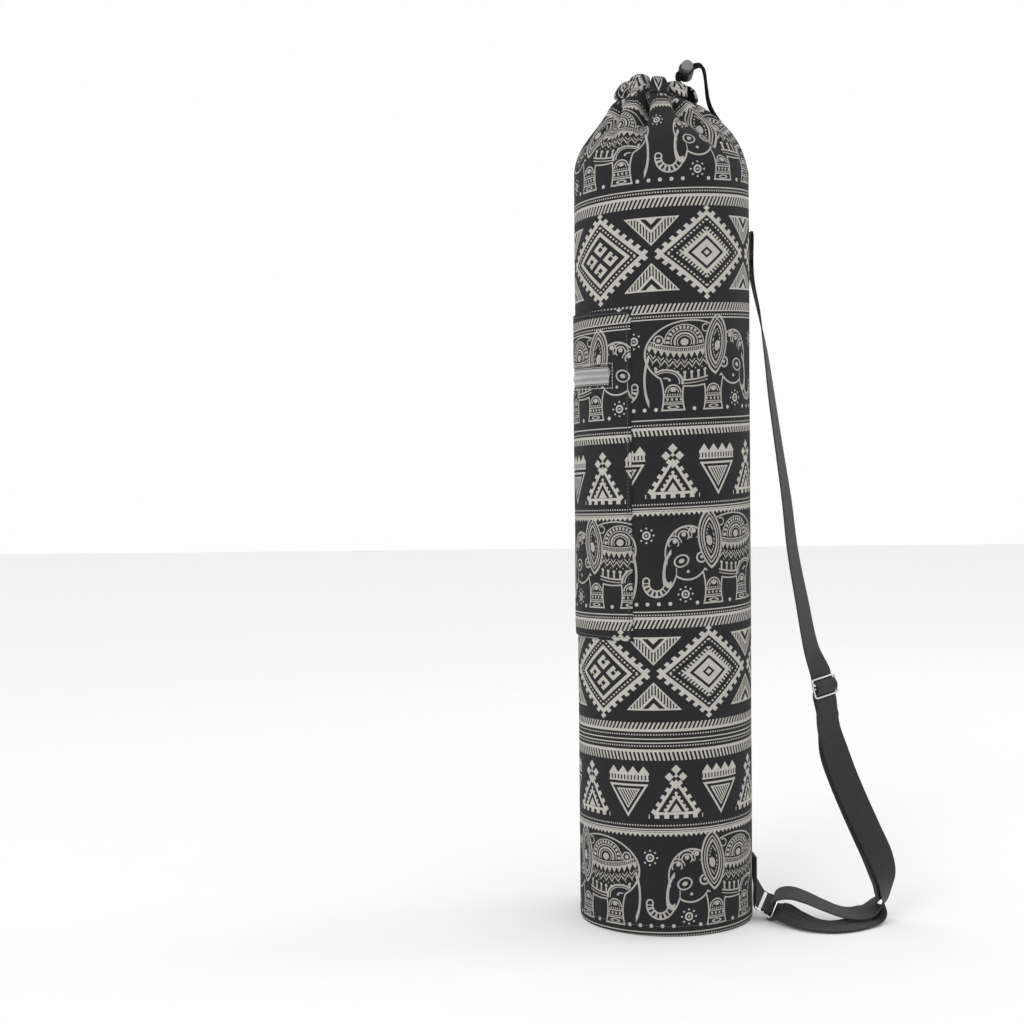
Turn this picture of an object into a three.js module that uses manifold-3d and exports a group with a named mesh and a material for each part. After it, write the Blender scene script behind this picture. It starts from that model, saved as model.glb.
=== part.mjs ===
// A drawstring bag for a rolled yoga mat: a tall tube of canvas gathered at the top, with a zip
// pocket and a webbing strap.
// Millimetres, +Z up, +X to the right of the front, -Y towards the viewer.
// The origin is the centre of the base's underside.
// Azimuths are in degrees from the front, growing towards +X.
import * as THREE from "three";
import { mergeVertices } from "three/addons/utils/BufferGeometryUtils.js";
import Module from "manifold-3d";

const wasm = await Module();
wasm.setup();

// Driving sizes of the cloth body
const BODY_RADIUS = 80;
const BODY_HEIGHT = 684;
const GATHER_HEIGHT = 68;
const CLOTH = 1.6;
const GAP = 0.3;
const SEAM_GAP = 0.45;
const HEM_HEIGHT = 5;
const HEM_INSET = 1.6;
const LOBE_STEPS = 6;

// Driving sizes of the gathered drawstring casing, measured from the middle of the mouth
const CASING_HEIGHT = 18;
const CASING_RIDGE_RADIUS = 36;
const CASING_CREASE_RADIUS = 28.8;
const MOUTH_RIDGE_RADIUS = 15;
const MOUTH_CREASE_RADIUS = 19.2;
const CASING_SLANT = 0.42;
const MOUTH_SHIFT = -4;
const SECTION_SIDES = 8;
const SECTION_POWER = 3;
const SEAM_SHARE = 0.7;
const LOBE_POWER = 2.4;

// Driving sizes of the drawcord and its lock
const CORD_DIAMETER = 3;
const CORD_SIDES = 8;
const CORD_STEP = 7.5;
const CORD_LOOP_RADIUS = 24;
const EXIT_AZIMUTH = 60;
const EXIT_WIDTH = 30;
const EXIT_RUN = 8;
const LOCK_CENTRE = { out: 22, fore: 15, up: 24 };
const LOCK_TIP_UP = 14;
const HOLE_RISE = 32;
const BARREL_DIAMETER = 14;
const BARREL_LENGTH = 15;
const BARREL_WALL = 2.3;
const BARREL_FLOOR = 1.6;
const BARREL_ROUND = 1;
const LIP_ROUND = 0.6;
const CORD_RISE = 4;
const BUTTON_DIAMETER = 10.4;
const BUTTON_HEAD = 2.6;
const LOCK_TRAVEL = 4;
const LOCK_CLEARANCE = 0.25;
const KNOT_DIAMETER = 8;
const KNOT_LENGTH = 11;

// Driving sizes of the patch pocket and its zip
const POCKET_RIGHT_AZIMUTH = -25;
const POCKET_WIDTH = 193;
const POCKET_BOTTOM = 263;
const POCKET_HEIGHT = 294;
const ZIP_DROP = 58;
const ZIP_MARGIN = 20;
const ZIP_HEIGHT = 18;
const ZIP_TAPE = 1;
const COIL_HEIGHT = 6;
const COIL_THICK = 1.2;
const PULL_LENGTH = 24;
const PULL_WIDTH = 7;
const PULL_THICK = 1.4;
const PULL_BODY_LENGTH = 9;

// Driving sizes of the strap and its two sliders
const WEB_WIDTH = 25;
const WEB_THICK = 1.4;
const STRAP_TOP = 632;
const STRAP_SEWN = 26;
const STRAP_REACH = 125;
const STRAP_FORWARD = 66;
const STRAP_SIDE_AZIMUTH = 94;
const SLIDER_HEIGHT = 19;
const SLIDER_WIDTH = 30;
const SLIDER_WIRE = 2;
const TAIL_LENGTH = 22;
const SECOND_LAYER_ASIDE = 5;
const TAB_WIDTH = 24;
const TAB_AZIMUTH = 91;
const TAB_TOP = 54;
const TAB_SEWN = 16;

const ZIP_CENTRE_HEIGHT = POCKET_BOTTOM + POCKET_HEIGHT - ZIP_DROP;
const SLIDER_PITCH = (SLIDER_HEIGHT - SLIDER_WIRE) / 2;
const WRAP = SLIDER_WIRE / 2 + GAP + WEB_THICK / 2;
const LAYER = WEB_THICK + GAP;

// Creases round the gathered top. bite is the crease's depth as a share of the full one,
// lift is how far the lobe after it stands above the seam height, as a share of CASING_HEIGHT.
const FOLDS = [
  { crease: -58, bite: 0.9, lift: 0.2 },
  { crease: -19, bite: 1.0, lift: 0.02 },
  { crease: 20, bite: 0.8, lift: -0.2 },
  { crease: 60, bite: 1.0, lift: -0.22 },
  { crease: 98, bite: 0.85, lift: -0.05 },
  { crease: 131, bite: 1.0, lift: 0.1 },
  { crease: 169, bite: 0.8, lift: -0.1 },
  { crease: 203, bite: 1.0, lift: 0.05 },
  { crease: 241, bite: 0.9, lift: 0.12 },
  { crease: 272, bite: 1.0, lift: 0.0 },
];

// Rows of the shoulder: up is the share of GATHER_HEIGHT, spread the share of the way from the rim's
// radius out to the body's, fold the crease's depth as a share of its depth at the rim.
const SHOULDER = [
  { up: 0, spread: 1, fold: 0 },
  { up: 0.2, spread: 0.93, fold: 0.05 },
  { up: 0.36, spread: 0.82, fold: 0.3 },
  { up: 0.52, spread: 0.66, fold: 0.9 },
  { up: 0.68, spread: 0.47, fold: 1.7 },
  { up: 0.84, spread: 0.26, fold: 2.3 },
  { up: 1, spread: 0, fold: 1 },
];

const radians = THREE.MathUtils.degToRad;
const vec = (x, y, z) => new THREE.Vector3(x, y, z);

// A point at an azimuth, a radius and a height about the bag's axis, shifted sideways.
function polar(azimuth, radius, height, shift = 0) {
  const a = radians(azimuth);
  return vec(radius * Math.sin(a) + shift, -radius * Math.cos(a), height);
}

function geometryOf(points, index) {
  const geometry = new THREE.BufferGeometry();
  geometry.setAttribute(
    "position",
    new THREE.Float32BufferAttribute(points.flatMap((p) => [p.x, p.y, p.z]), 3),
  );
  geometry.setIndex(index);
  geometry.computeVertexNormals();
  return geometry;
}

// A skin over a grid of points whose rows and whose columns both run round to where they began.
function ringSkin(rows) {
  const n = rows.length;
  const m = rows[0].length;
  const index = [];
  for (let i = 0; i < n; i++)
    for (let j = 0; j < m; j++) {
      const a = i * m + j;
      const b = i * m + ((j + 1) % m);
      const c = ((i + 1) % n) * m + ((j + 1) % m);
      const d = ((i + 1) % n) * m + j;
      index.push(a, b, c, a, c, d);
    }
  return geometryOf(rows.flat(), index);
}

// A skin over closed sections in a row, capped at both ends. outline is the section drawn flat.
function cappedSkin(sections, outline) {
  const m = sections[0].length;
  const last = (sections.length - 1) * m;
  const index = [];
  for (let i = 0; i + 1 < sections.length; i++)
    for (let j = 0; j < m; j++) {
      const a = i * m + j;
      const b = i * m + ((j + 1) % m);
      index.push(a, b, b + m, a, b + m, a + m);
    }
  for (const face of THREE.ShapeUtils.triangulateShape(outline, [])) {
    const [a, b, c] = face.sort((p, q) => p - q);
    index.push(a, c, b);
    index.push(last + a, last + b, last + c);
  }
  return geometryOf(sections.flat(), index);
}

// A section of [radius, height] corners, anticlockwise, carried round the axis between two azimuths.
function arcBand(section, from, to) {
  const degreesPerStep = 6;
  const steps = Math.max(1, Math.ceil((to - from) / degreesPerStep));
  const sections = [];
  for (let i = steps; i >= 0; i--) {
    const azimuth = from + ((to - from) * i) / steps;
    sections.push(section.map(([r, z]) => polar(azimuth, r, z)));
  }
  return cappedSkin(sections, section.map(([r, z]) => new THREE.Vector2(r, z)));
}

function boxSection(r0, r1, z0, z1) {
  return [[r0, z0], [r1, z0], [r1, z1], [r0, z1]];
}

// A flat band carried along stations, each a point and the direction across the band.
function webbing(stations, width) {
  const w = width / 2;
  const t = WEB_THICK / 2;
  const corners = [[w, t], [-w, t], [-w, -t], [w, -t]];
  const sections = stations.map(({ at, across }, i) => {
    const before = stations[Math.max(0, i - 1)].at;
    const after = stations[Math.min(stations.length - 1, i + 1)].at;
    const along = after.clone().sub(before);
    const face = along.cross(across).normalize();
    return corners.map(([u, v]) => at.clone().addScaledVector(across, u).addScaledVector(face, v));
  });
  return cappedSkin(sections, corners.map(([u, v]) => new THREE.Vector2(-u, v)));
}

// A cord's tube along a smooth curve.
function cordTube(points) {
  const circle = [];
  for (let i = 0; i < CORD_SIDES; i++) {
    const a = (2 * Math.PI * i) / CORD_SIDES;
    circle.push(new THREE.Vector2(Math.cos(a), Math.sin(a)).multiplyScalar(CORD_DIAMETER / 2));
  }
  const curve = new THREE.CatmullRomCurve3(points, false, "centripetal");
  const steps = Math.ceil(curve.getLength() / CORD_STEP);
  return new THREE.ExtrudeGeometry(new THREE.Shape(circle), { steps, extrudePath: curve });
}

function solidOf(geometry) {
  const bare = geometry.index ? geometry.toNonIndexed() : geometry.clone();
  bare.deleteAttribute("normal");
  bare.deleteAttribute("uv");
  const merged = mergeVertices(bare, 1e-3);
  return new wasm.Manifold(
    new wasm.Mesh({
      numProp: 3,
      vertProperties: merged.attributes.position.array,
      triVerts: new Uint32Array(merged.index.array),
    }),
  );
}

function geometryFrom(solid) {
  const mesh = solid.getMesh();
  const geometry = new THREE.BufferGeometry();
  geometry.setAttribute("position", new THREE.Float32BufferAttribute(mesh.vertProperties, 3));
  geometry.setIndex(Array.from(mesh.triVerts));
  geometry.computeVertexNormals();
  return geometry;
}

const cut = (geometry, tool) => geometryFrom(solidOf(geometry).subtract(solidOf(tool)));
const join = (one, other) => geometryFrom(solidOf(one).add(solidOf(other)));

// The gathered top: where in its lobe an azimuth lies, and the crease depth and lift there.
function foldAt(azimuth) {
  const first = FOLDS[0].crease;
  const a = first + ((((azimuth - first) % 360) + 360) % 360);
  let k = FOLDS.length - 1;
  while (k > 0 && FOLDS[k].crease > a + 1e-6) k--;
  const here = FOLDS[k];
  const next = FOLDS[(k + 1) % FOLDS.length];
  const before = FOLDS[(k + FOLDS.length - 1) % FOLDS.length];
  const end = k + 1 < FOLDS.length ? next.crease : first + 360;
  const share = (a - here.crease) / (end - here.crease);
  const hump = 1 - Math.abs(2 * share - 1) ** LOBE_POWER;
  const bite = THREE.MathUtils.lerp(here.bite, next.bite, share);
  const neighbour = share < 0.5 ? before.lift : next.lift;
  const blend = Math.cos(Math.PI * (share - 0.5)) / 2 + 0.5;
  return { sunk: (1 - hump) * bite, lift: THREE.MathUtils.lerp(neighbour, here.lift, blend) };
}

const SEAM_HEIGHT = BODY_HEIGHT + GATHER_HEIGHT;

// The casing at an azimuth: the middle, half width and middle height of its oval section.
function casingAt(azimuth) {
  const { sunk, lift } = foldAt(azimuth);
  const outer = CASING_RIDGE_RADIUS - sunk * (CASING_RIDGE_RADIUS - CASING_CREASE_RADIUS);
  const inner = MOUTH_RIDGE_RADIUS + sunk * (MOUTH_CREASE_RADIUS - MOUTH_RIDGE_RADIUS);
  return {
    middle: (outer + inner) / 2,
    halfWidth: (outer - inner) / 2,
    height: SEAM_HEIGHT + CASING_HEIGHT * (0.5 + lift),
  };
}

// The casing's underside at an azimuth and a share of its half width.
function undersideAt(azimuth, share) {
  const { middle, halfWidth, height } = casingAt(azimuth);
  const drop = (1 - Math.abs(share) ** SECTION_POWER) ** (1 / SECTION_POWER);
  return {
    radius: middle + halfWidth * share + (CASING_SLANT * drop * CASING_HEIGHT) / 2,
    height: height - (drop * CASING_HEIGHT) / 2,
  };
}

const RIM_RADIUS = CASING_RIDGE_RADIUS + (CASING_SLANT * CASING_HEIGHT) / 2;

// The sleeve's outer face at an azimuth and a shoulder row.
function shoulderPoint(azimuth, row, inset) {
  const rim = undersideAt(azimuth, SEAM_SHARE);
  const radius =
    RIM_RADIUS +
    row.spread * (BODY_RADIUS - RIM_RADIUS) +
    row.fold * (rim.radius - RIM_RADIUS) -
    inset;
  const halfWidth = casingAt(azimuth).halfWidth;
  const top = undersideAt(azimuth, SEAM_SHARE - inset / halfWidth).height - SEAM_GAP;
  const height = BODY_HEIGHT + row.up * (top - BODY_HEIGHT);
  return polar(azimuth, radius, height, MOUTH_SHIFT * row.up);
}

function lobeColumns() {
  const columns = [];
  FOLDS.forEach(({ crease }, k) => {
    const end = k + 1 < FOLDS.length ? FOLDS[k + 1].crease : FOLDS[0].crease + 360;
    for (let i = 0; i < LOBE_STEPS; i++) columns.push(crease + ((end - crease) * i) / LOBE_STEPS);
  });
  return columns;
}

// The sleeve: a tube open at both ends, its wall turned in at the hem and pleated at the shoulder.
function sleeve() {
  const columns = lobeColumns();
  const wall = (inset) => [
    columns.map((a) => polar(a, BODY_RADIUS - HEM_INSET - inset, 0)),
    columns.map((a) => polar(a, BODY_RADIUS - inset, HEM_HEIGHT)),
    columns.map((a) => polar(a, BODY_RADIUS - inset, BODY_HEIGHT / 2)),
    ...SHOULDER.map((row) => columns.map((a) => shoulderPoint(a, row, inset))),
  ];
  return ringSkin([...wall(0), ...wall(CLOTH).reverse()]);
}

// One oval section of the casing, inset by the wall for its hollow.
function casingSection(azimuth, inset) {
  const { middle, halfWidth, height } = casingAt(azimuth);
  const power = 2 / SECTION_POWER;
  const section = [];
  for (let k = 0; k < SECTION_SIDES; k++) {
    const a = (2 * Math.PI * (k + 0.5)) / SECTION_SIDES;
    const x = Math.sign(Math.cos(a)) * Math.abs(Math.cos(a)) ** power;
    const y = Math.sign(Math.sin(a)) * Math.abs(Math.sin(a)) ** power;
    const rise = (CASING_HEIGHT / 2 - inset) * y;
    const radius = middle + (halfWidth - inset) * x - CASING_SLANT * rise;
    section.push(polar(azimuth, radius, height + rise, MOUTH_SHIFT));
  }
  return section;
}

// The casing: a hollow oval tube bent round the mouth, open at the two ends where the cord comes out.
function casing() {
  const from = EXIT_AZIMUTH + EXIT_WIDTH / 2;
  const to = EXIT_AZIMUTH + 360 - EXIT_WIDTH / 2;
  const apart = 1;
  const turned = lobeColumns().map((a) => (a < from ? a + 360 : a));
  const inside = turned.filter((a) => a > from + apart && a < to - apart);
  const between = inside.sort((a, b) => a - b);
  const azimuths = [from, ...between, to];
  const outside = azimuths.map((a) => casingSection(a, 0)).reverse();
  const hollow = azimuths.map((a) => casingSection(a, CLOTH));
  return ringSkin([...outside, ...hollow]);
}

function basePanel() {
  const facets = 60;
  const radius = (BODY_RADIUS - HEM_INSET - CLOTH) * Math.cos(Math.PI / facets) - 2 * GAP;
  const geometry = new THREE.CylinderGeometry(radius, radius, CLOTH, facets);
  geometry.rotateX(Math.PI / 2);
  geometry.translate(0, 0, CLOTH / 2);
  return geometry;
}

// The patch pocket: a curved plate with a window for the zip. Widths run round the body's face.
const POCKET_INNER = BODY_RADIUS + GAP;
const POCKET_OUTER = POCKET_INNER + CLOTH;
const turnOf = (length) => THREE.MathUtils.radToDeg(length / POCKET_OUTER);
const POCKET_LEFT_AZIMUTH = POCKET_RIGHT_AZIMUTH - turnOf(POCKET_WIDTH);
const ZIP_RIGHT_AZIMUTH = POCKET_RIGHT_AZIMUTH - turnOf(ZIP_MARGIN);
const ZIP_LEFT_AZIMUTH = POCKET_LEFT_AZIMUTH + turnOf(ZIP_MARGIN);
const ZIP_BOTTOM = ZIP_CENTRE_HEIGHT - ZIP_HEIGHT / 2;
const ZIP_TOP = ZIP_CENTRE_HEIGHT + ZIP_HEIGHT / 2;
const COIL_RADIUS = POCKET_INNER + ZIP_TAPE + COIL_THICK;

function pocketPanel() {
  const top = POCKET_BOTTOM + POCKET_HEIGHT;
  const plate = boxSection(POCKET_INNER, POCKET_OUTER, POCKET_BOTTOM, top);
  const window = boxSection(POCKET_INNER - CLOTH, POCKET_OUTER + CLOTH, ZIP_BOTTOM, ZIP_TOP);
  return cut(
    arcBand(plate, POCKET_LEFT_AZIMUTH, POCKET_RIGHT_AZIMUTH),
    arcBand(window, ZIP_LEFT_AZIMUTH, ZIP_RIGHT_AZIMUTH),
  );
}

function zip() {
  const tape = POCKET_INNER + ZIP_TAPE;
  const low = ZIP_CENTRE_HEIGHT - COIL_HEIGHT / 2;
  const high = ZIP_CENTRE_HEIGHT + COIL_HEIGHT / 2;
  const section = [
    [POCKET_INNER, ZIP_BOTTOM + GAP],
    [tape, ZIP_BOTTOM + GAP],
    [tape, low],
    [COIL_RADIUS, low + COIL_HEIGHT / 4],
    [COIL_RADIUS, high - COIL_HEIGHT / 4],
    [tape, high],
    [tape, ZIP_TOP - GAP],
    [POCKET_INNER, ZIP_TOP - GAP],
  ];
  return arcBand(section, ZIP_LEFT_AZIMUTH + turnOf(GAP), ZIP_RIGHT_AZIMUTH - turnOf(GAP));
}

// The zip's slider with its pull tab hanging down from it, closed at the far end of the zip.
function zipPull() {
  const middle = ZIP_LEFT_AZIMUTH + turnOf(PULL_BODY_LENGTH);
  const seat = COIL_RADIUS + GAP;
  const half = ZIP_HEIGHT / 4;
  const body = boxSection(
    seat,
    seat + 2 * PULL_THICK,
    ZIP_CENTRE_HEIGHT - half,
    ZIP_CENTRE_HEIGHT + half,
  );
  const tab = boxSection(
    seat + PULL_THICK / 2,
    seat + (3 * PULL_THICK) / 2,
    ZIP_CENTRE_HEIGHT - PULL_LENGTH,
    ZIP_CENTRE_HEIGHT,
  );
  const bodyTurn = turnOf(PULL_BODY_LENGTH) / 2;
  const tabTurn = turnOf(PULL_WIDTH) / 2;
  return join(
    arcBand(body, middle - bodyTurn, middle + bodyTurn),
    arcBand(tab, middle - tabTurn, middle + tabTurn),
  );
}

// A three-bar slider lying flat about its own centre: x across the webbing, y along it, z its face.
function slider() {
  const plate = (w, h) => {
    const shape = new THREE.Shape();
    shape.moveTo(-w / 2, -h / 2);
    shape.lineTo(w / 2, -h / 2);
    shape.lineTo(w / 2, h / 2);
    shape.lineTo(-w / 2, h / 2);
    return shape;
  };
  const outline = plate(SLIDER_WIDTH, SLIDER_HEIGHT);
  const windowWidth = SLIDER_WIDTH - 2 * SLIDER_WIRE;
  const windowHeight = SLIDER_PITCH - SLIDER_WIRE;
  for (const side of [-1, 1]) {
    const hole = plate(windowWidth, windowHeight).getPoints();
    outline.holes.push(
      new THREE.Path(hole.map((p) => new THREE.Vector2(p.x, p.y + (side * SLIDER_PITCH) / 2))),
    );
  }
  const bevel = SLIDER_WIRE / 4;
  const geometry = new THREE.ExtrudeGeometry(outline, {
    depth: SLIDER_WIRE - 2 * bevel,
    bevelEnabled: true,
    bevelThickness: bevel,
    bevelSize: bevel,
    bevelOffset: -bevel,
    bevelSegments: 1,
  });
  geometry.translate(0, 0, bevel - SLIDER_WIRE / 2);
  return geometry;
}

// A slider's own frame: its centre, the way across its bars, the way along the strap, and its face.
function frameAt(centre, across, along) {
  const w = across.clone().normalize();
  const t = along.clone().addScaledVector(w, -along.dot(w)).normalize();
  const face = w.clone().cross(t).normalize();
  return { centre, across: w, along: t, face };
}

const inFrame = (frame, along, face) =>
  frame.centre.clone().addScaledVector(frame.along, along).addScaledVector(frame.face, face);

// Places on the strap, as shares: out of STRAP_REACH from the body's side, fore of STRAP_FORWARD
// towards the viewer, up of STRAP_TOP. turn is the heading of the webbing's width in degrees, 0 when
// it runs front to back and 90 when it faces the viewer, and lean is how far its far edge is raised.
function strapPoint({ out, fore, up, turn, lean = 0 }) {
  const heading = radians(turn);
  const rise = radians(lean);
  return {
    at: vec(BODY_RADIUS + out * STRAP_REACH, -fore * STRAP_FORWARD, up * STRAP_TOP),
    across: vec(
      Math.sin(heading) * Math.cos(rise),
      Math.cos(heading) * Math.cos(rise),
      Math.sin(rise),
    ),
  };
}

const UPPER_RUN = [
  { out: 0.035, fore: -0.02, up: 0.925, turn: 2 },
  { out: 0.075, fore: 0.0, up: 0.885, turn: 5 },
  { out: 0.12, fore: 0.02, up: 0.83, turn: 14 },
  { out: 0.165, fore: 0.05, up: 0.757, turn: 21 },
  { out: 0.215, fore: 0.08, up: 0.683, turn: 24 },
  { out: 0.265, fore: 0.11, up: 0.61, turn: 28 },
  { out: 0.305, fore: 0.13, up: 0.537, turn: 31 },
  { out: 0.37, fore: 0.15, up: 0.463, turn: 36 },
  { out: 0.44, fore: 0.17, up: 0.39, turn: 42 },
];

const DOUBLED_RUN = [
  { out: 0.565, fore: 0.2, up: 0.277, turn: 68 },
  { out: 0.615, fore: 0.22, up: 0.241, turn: 78 },
  { out: 0.676, fore: 0.26, up: 0.203, turn: 84 },
  { out: 0.752, fore: 0.3, up: 0.166, turn: 84 },
  { out: 0.836, fore: 0.35, up: 0.128, turn: 82 },
  { out: 0.915, fore: 0.4, up: 0.092, turn: 78 },
  { out: 0.948, fore: 0.44, up: 0.067, turn: 60 },
  { out: 0.948, fore: 0.46, up: 0.047, turn: 38 },
  { out: 0.935, fore: 0.48, up: 0.031, turn: 26 },
];

// The outer strand from the floor end of the doubled run to the lower slider.
const FLOOR_STRAND = [
  { out: 0.895, fore: 0.53, up: 0.0165, turn: 4, lean: 10 },
  { out: 0.84, fore: 0.61, up: 0.0085, turn: -26, lean: 9 },
  { out: 0.76, fore: 0.74, up: 0.0065, turn: -34, lean: 8 },
  { out: 0.64, fore: 0.9, up: 0.006, turn: -16, lean: 8 },
  { out: 0.5, fore: 0.98, up: 0.006, turn: 2, lean: 8 },
  { out: 0.37, fore: 0.9, up: 0.0075, turn: 22, lean: 10 },
  { out: 0.27, fore: 0.72, up: 0.0105, turn: 33, lean: 16 },
  { out: 0.2, fore: 0.53, up: 0.0135, turn: 30, lean: 20 },
];

// The inner strand from the lower slider back to the floor end of the doubled run.
const HUMP_STRAND = [
  { out: 0.135, fore: 0.38, up: 0.0325, turn: 24, lean: 20 },
  { out: 0.185, fore: 0.44, up: 0.0395, turn: 20, lean: 15 },
  { out: 0.26, fore: 0.52, up: 0.0415, turn: 12, lean: 12 },
  { out: 0.35, fore: 0.6, up: 0.0375, turn: 6, lean: 12 },
  { out: 0.47, fore: 0.68, up: 0.0285, turn: -2, lean: 13 },
  { out: 0.6, fore: 0.72, up: 0.0195, turn: -10, lean: 13 },
  { out: 0.72, fore: 0.66, up: 0.0155, turn: -18, lean: 13 },
  { out: 0.81, fore: 0.57, up: 0.0185, turn: -10, lean: 12 },
  { out: 0.87, fore: 0.5, up: 0.0275, turn: 8, lean: 8 },
];

const UPPER_SLIDER = { out: 0.53, fore: 0.18, up: 0.333, turn: 55 };
const LOWER_SLIDER = { out: 0.083, fore: 0.34, up: 0.0225, turn: 24.6, lean: 23.6 };
const LOWER_SLIDER_ALONG = vec(0.82, -0.1, -0.57);

const upperPlace = strapPoint(UPPER_SLIDER);
const upperAlong = strapPoint(DOUBLED_RUN[0])
  .at.clone()
  .sub(strapPoint(UPPER_RUN[UPPER_RUN.length - 1]).at);
const upperFrame = frameAt(upperPlace.at, upperPlace.across, upperAlong);
const lowerPlace = strapPoint(LOWER_SLIDER);
const lowerFrame = frameAt(lowerPlace.at, lowerPlace.across, LOWER_SLIDER_ALONG);

// Both faces are turned to the viewer's side, so that a strand behind a bar has a negative face share.
for (const frame of [upperFrame, lowerFrame]) if (frame.face.y > 0) frame.face.negate();

const station = (frame, along, face) => ({ at: inFrame(frame, along, face), across: frame.across });

// The running strand passes behind the top bar, over the middle bar and behind the bottom bar.
function throughUpperSlider() {
  const over = WRAP + LAYER;
  return [
    station(upperFrame, -SLIDER_PITCH - 2 * WRAP, -WRAP),
    station(upperFrame, -SLIDER_PITCH, -WRAP),
    station(upperFrame, -0.72 * SLIDER_PITCH, -0.45 * WRAP),
    station(upperFrame, -0.52 * SLIDER_PITCH, 0.7 * WRAP),
    station(upperFrame, -0.3 * SLIDER_PITCH, 0.85 * over),
    station(upperFrame, 0, over),
    station(upperFrame, 0.3 * SLIDER_PITCH, 0.85 * over),
    station(upperFrame, 0.52 * SLIDER_PITCH, 0.7 * WRAP),
    station(upperFrame, 0.72 * SLIDER_PITCH, -0.45 * WRAP),
    station(upperFrame, SLIDER_PITCH, -WRAP),
    station(upperFrame, SLIDER_PITCH + 2 * WRAP, -WRAP),
  ];
}

// The sewn end comes up behind, goes round the middle bar and back down between the two strands.
function roundUpperSlider() {
  const behind = WRAP + 2 * LAYER;
  const tail = WRAP + LAYER;
  return [
    station(upperFrame, SLIDER_PITCH + TAIL_LENGTH, -behind),
    station(upperFrame, SLIDER_PITCH + TAIL_LENGTH / 2, -behind),
    station(upperFrame, SLIDER_PITCH, -behind),
    station(upperFrame, 0.5 * SLIDER_PITCH, -behind + 0.5 * LAYER),
    station(upperFrame, 0.18 * SLIDER_PITCH, -WRAP - 0.35 * LAYER),
    station(upperFrame, -0.4 * WRAP, -0.92 * WRAP),
    station(upperFrame, -0.92 * WRAP, -0.4 * WRAP),
    station(upperFrame, -0.92 * WRAP, 0.4 * WRAP),
    station(upperFrame, -0.4 * WRAP, 0.92 * WRAP),
    station(upperFrame, 0.4 * WRAP, 0.92 * WRAP),
    station(upperFrame, 0.95 * WRAP, 0.35 * WRAP),
    station(upperFrame, 1.15 * WRAP, -0.35 * WRAP),
    station(upperFrame, 0.42 * SLIDER_PITCH, -1.05 * WRAP),
    station(upperFrame, 0.75 * SLIDER_PITCH, -tail + 0.15 * LAYER),
    station(upperFrame, SLIDER_PITCH, -tail),
    station(upperFrame, SLIDER_PITCH + TAIL_LENGTH / 2, -tail),
    station(upperFrame, SLIDER_PITCH + TAIL_LENGTH, -tail),
  ];
}

// The strand turns up round the lower slider's outer bar, through its window.
function roundLowerSlider() {
  return [
    station(lowerFrame, SLIDER_PITCH + 0.8 * WRAP, -WRAP),
    station(lowerFrame, SLIDER_PITCH, -WRAP),
    station(lowerFrame, SLIDER_PITCH - 0.75 * WRAP, -0.7 * WRAP),
    station(lowerFrame, SLIDER_PITCH - 1.1 * WRAP, 0.2 * WRAP),
    station(lowerFrame, SLIDER_PITCH - 1.2 * WRAP, 1.5 * WRAP),
  ];
}

// Fills in stations along a smooth line through the given ones.
function smooth(stations, perSpan) {
  const curve = new THREE.CatmullRomCurve3(stations.map((s) => s.at), false, "centripetal");
  const spans = stations.length - 1;
  const filled = [];
  for (let i = 0; i <= spans * perSpan; i++) {
    const k = Math.min(Math.floor(i / perSpan), spans - 1);
    const share = i / perSpan - k;
    const across = stations[k].across.clone().lerp(stations[k + 1].across, share).normalize();
    filled.push({ at: curve.getPoint(i / (spans * perSpan)), across });
  }
  return filled;
}

// A station on the body's side, standing off it by so many layers.
function sideStation(azimuth, layers, height) {
  const radius = BODY_RADIUS + GAP + WEB_THICK / 2 + layers * LAYER;
  const a = radians(azimuth);
  return { at: polar(azimuth, radius, height), across: vec(Math.cos(a), Math.sin(a), 0) };
}

// The strap's upper end, folded under and sewn flat against the body's side.
function sewnEnd() {
  const foot = STRAP_TOP - STRAP_SEWN;
  return [
    sideStation(STRAP_SIDE_AZIMUTH, 0, foot),
    sideStation(STRAP_SIDE_AZIMUTH, 0, STRAP_TOP - LAYER / 2),
    sideStation(STRAP_SIDE_AZIMUTH, 0.5, STRAP_TOP),
    sideStation(STRAP_SIDE_AZIMUTH, 1, STRAP_TOP - LAYER / 2),
    sideStation(STRAP_SIDE_AZIMUTH, 1, foot),
  ];
}

// A copy of stations moved along their own face and sideways, for the second layer of a doubled run.
function besideRun(rows, back, aside) {
  const run = rows.map(strapPoint);
  return run.map(({ at, across }, i) => {
    const before = run[Math.max(0, i - 1)].at;
    const after = run[Math.min(run.length - 1, i + 1)].at;
    const face = after.clone().sub(before).cross(across).normalize();
    if (face.y > 0) face.negate();
    const share = i / (run.length - 1);
    const moved = at.clone().addScaledVector(face, -back);
    return { at: moved.addScaledVector(across, -aside * (0.5 + 0.5 * share)), across };
  });
}

// The whole strap, one length of webbing from its sewn upper end to its sewn end at the upper slider.
function strap() {
  const down = [
    ...smooth(UPPER_RUN.map(strapPoint), 2),
    ...throughUpperSlider(),
    ...smooth(DOUBLED_RUN.map(strapPoint), 2),
    ...smooth(FLOOR_STRAND.map(strapPoint), 2),
  ];
  const second = besideRun(DOUBLED_RUN.slice(1), 2 * LAYER, SECOND_LAYER_ASIDE).reverse();
  const up = [...smooth(HUMP_STRAND.map(strapPoint), 2), ...smooth(second, 2)];
  const stations = [...sewnEnd(), ...down, ...roundLowerSlider(), ...up, ...roundUpperSlider()];
  return webbing(stations, WEB_WIDTH);
}

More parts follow.
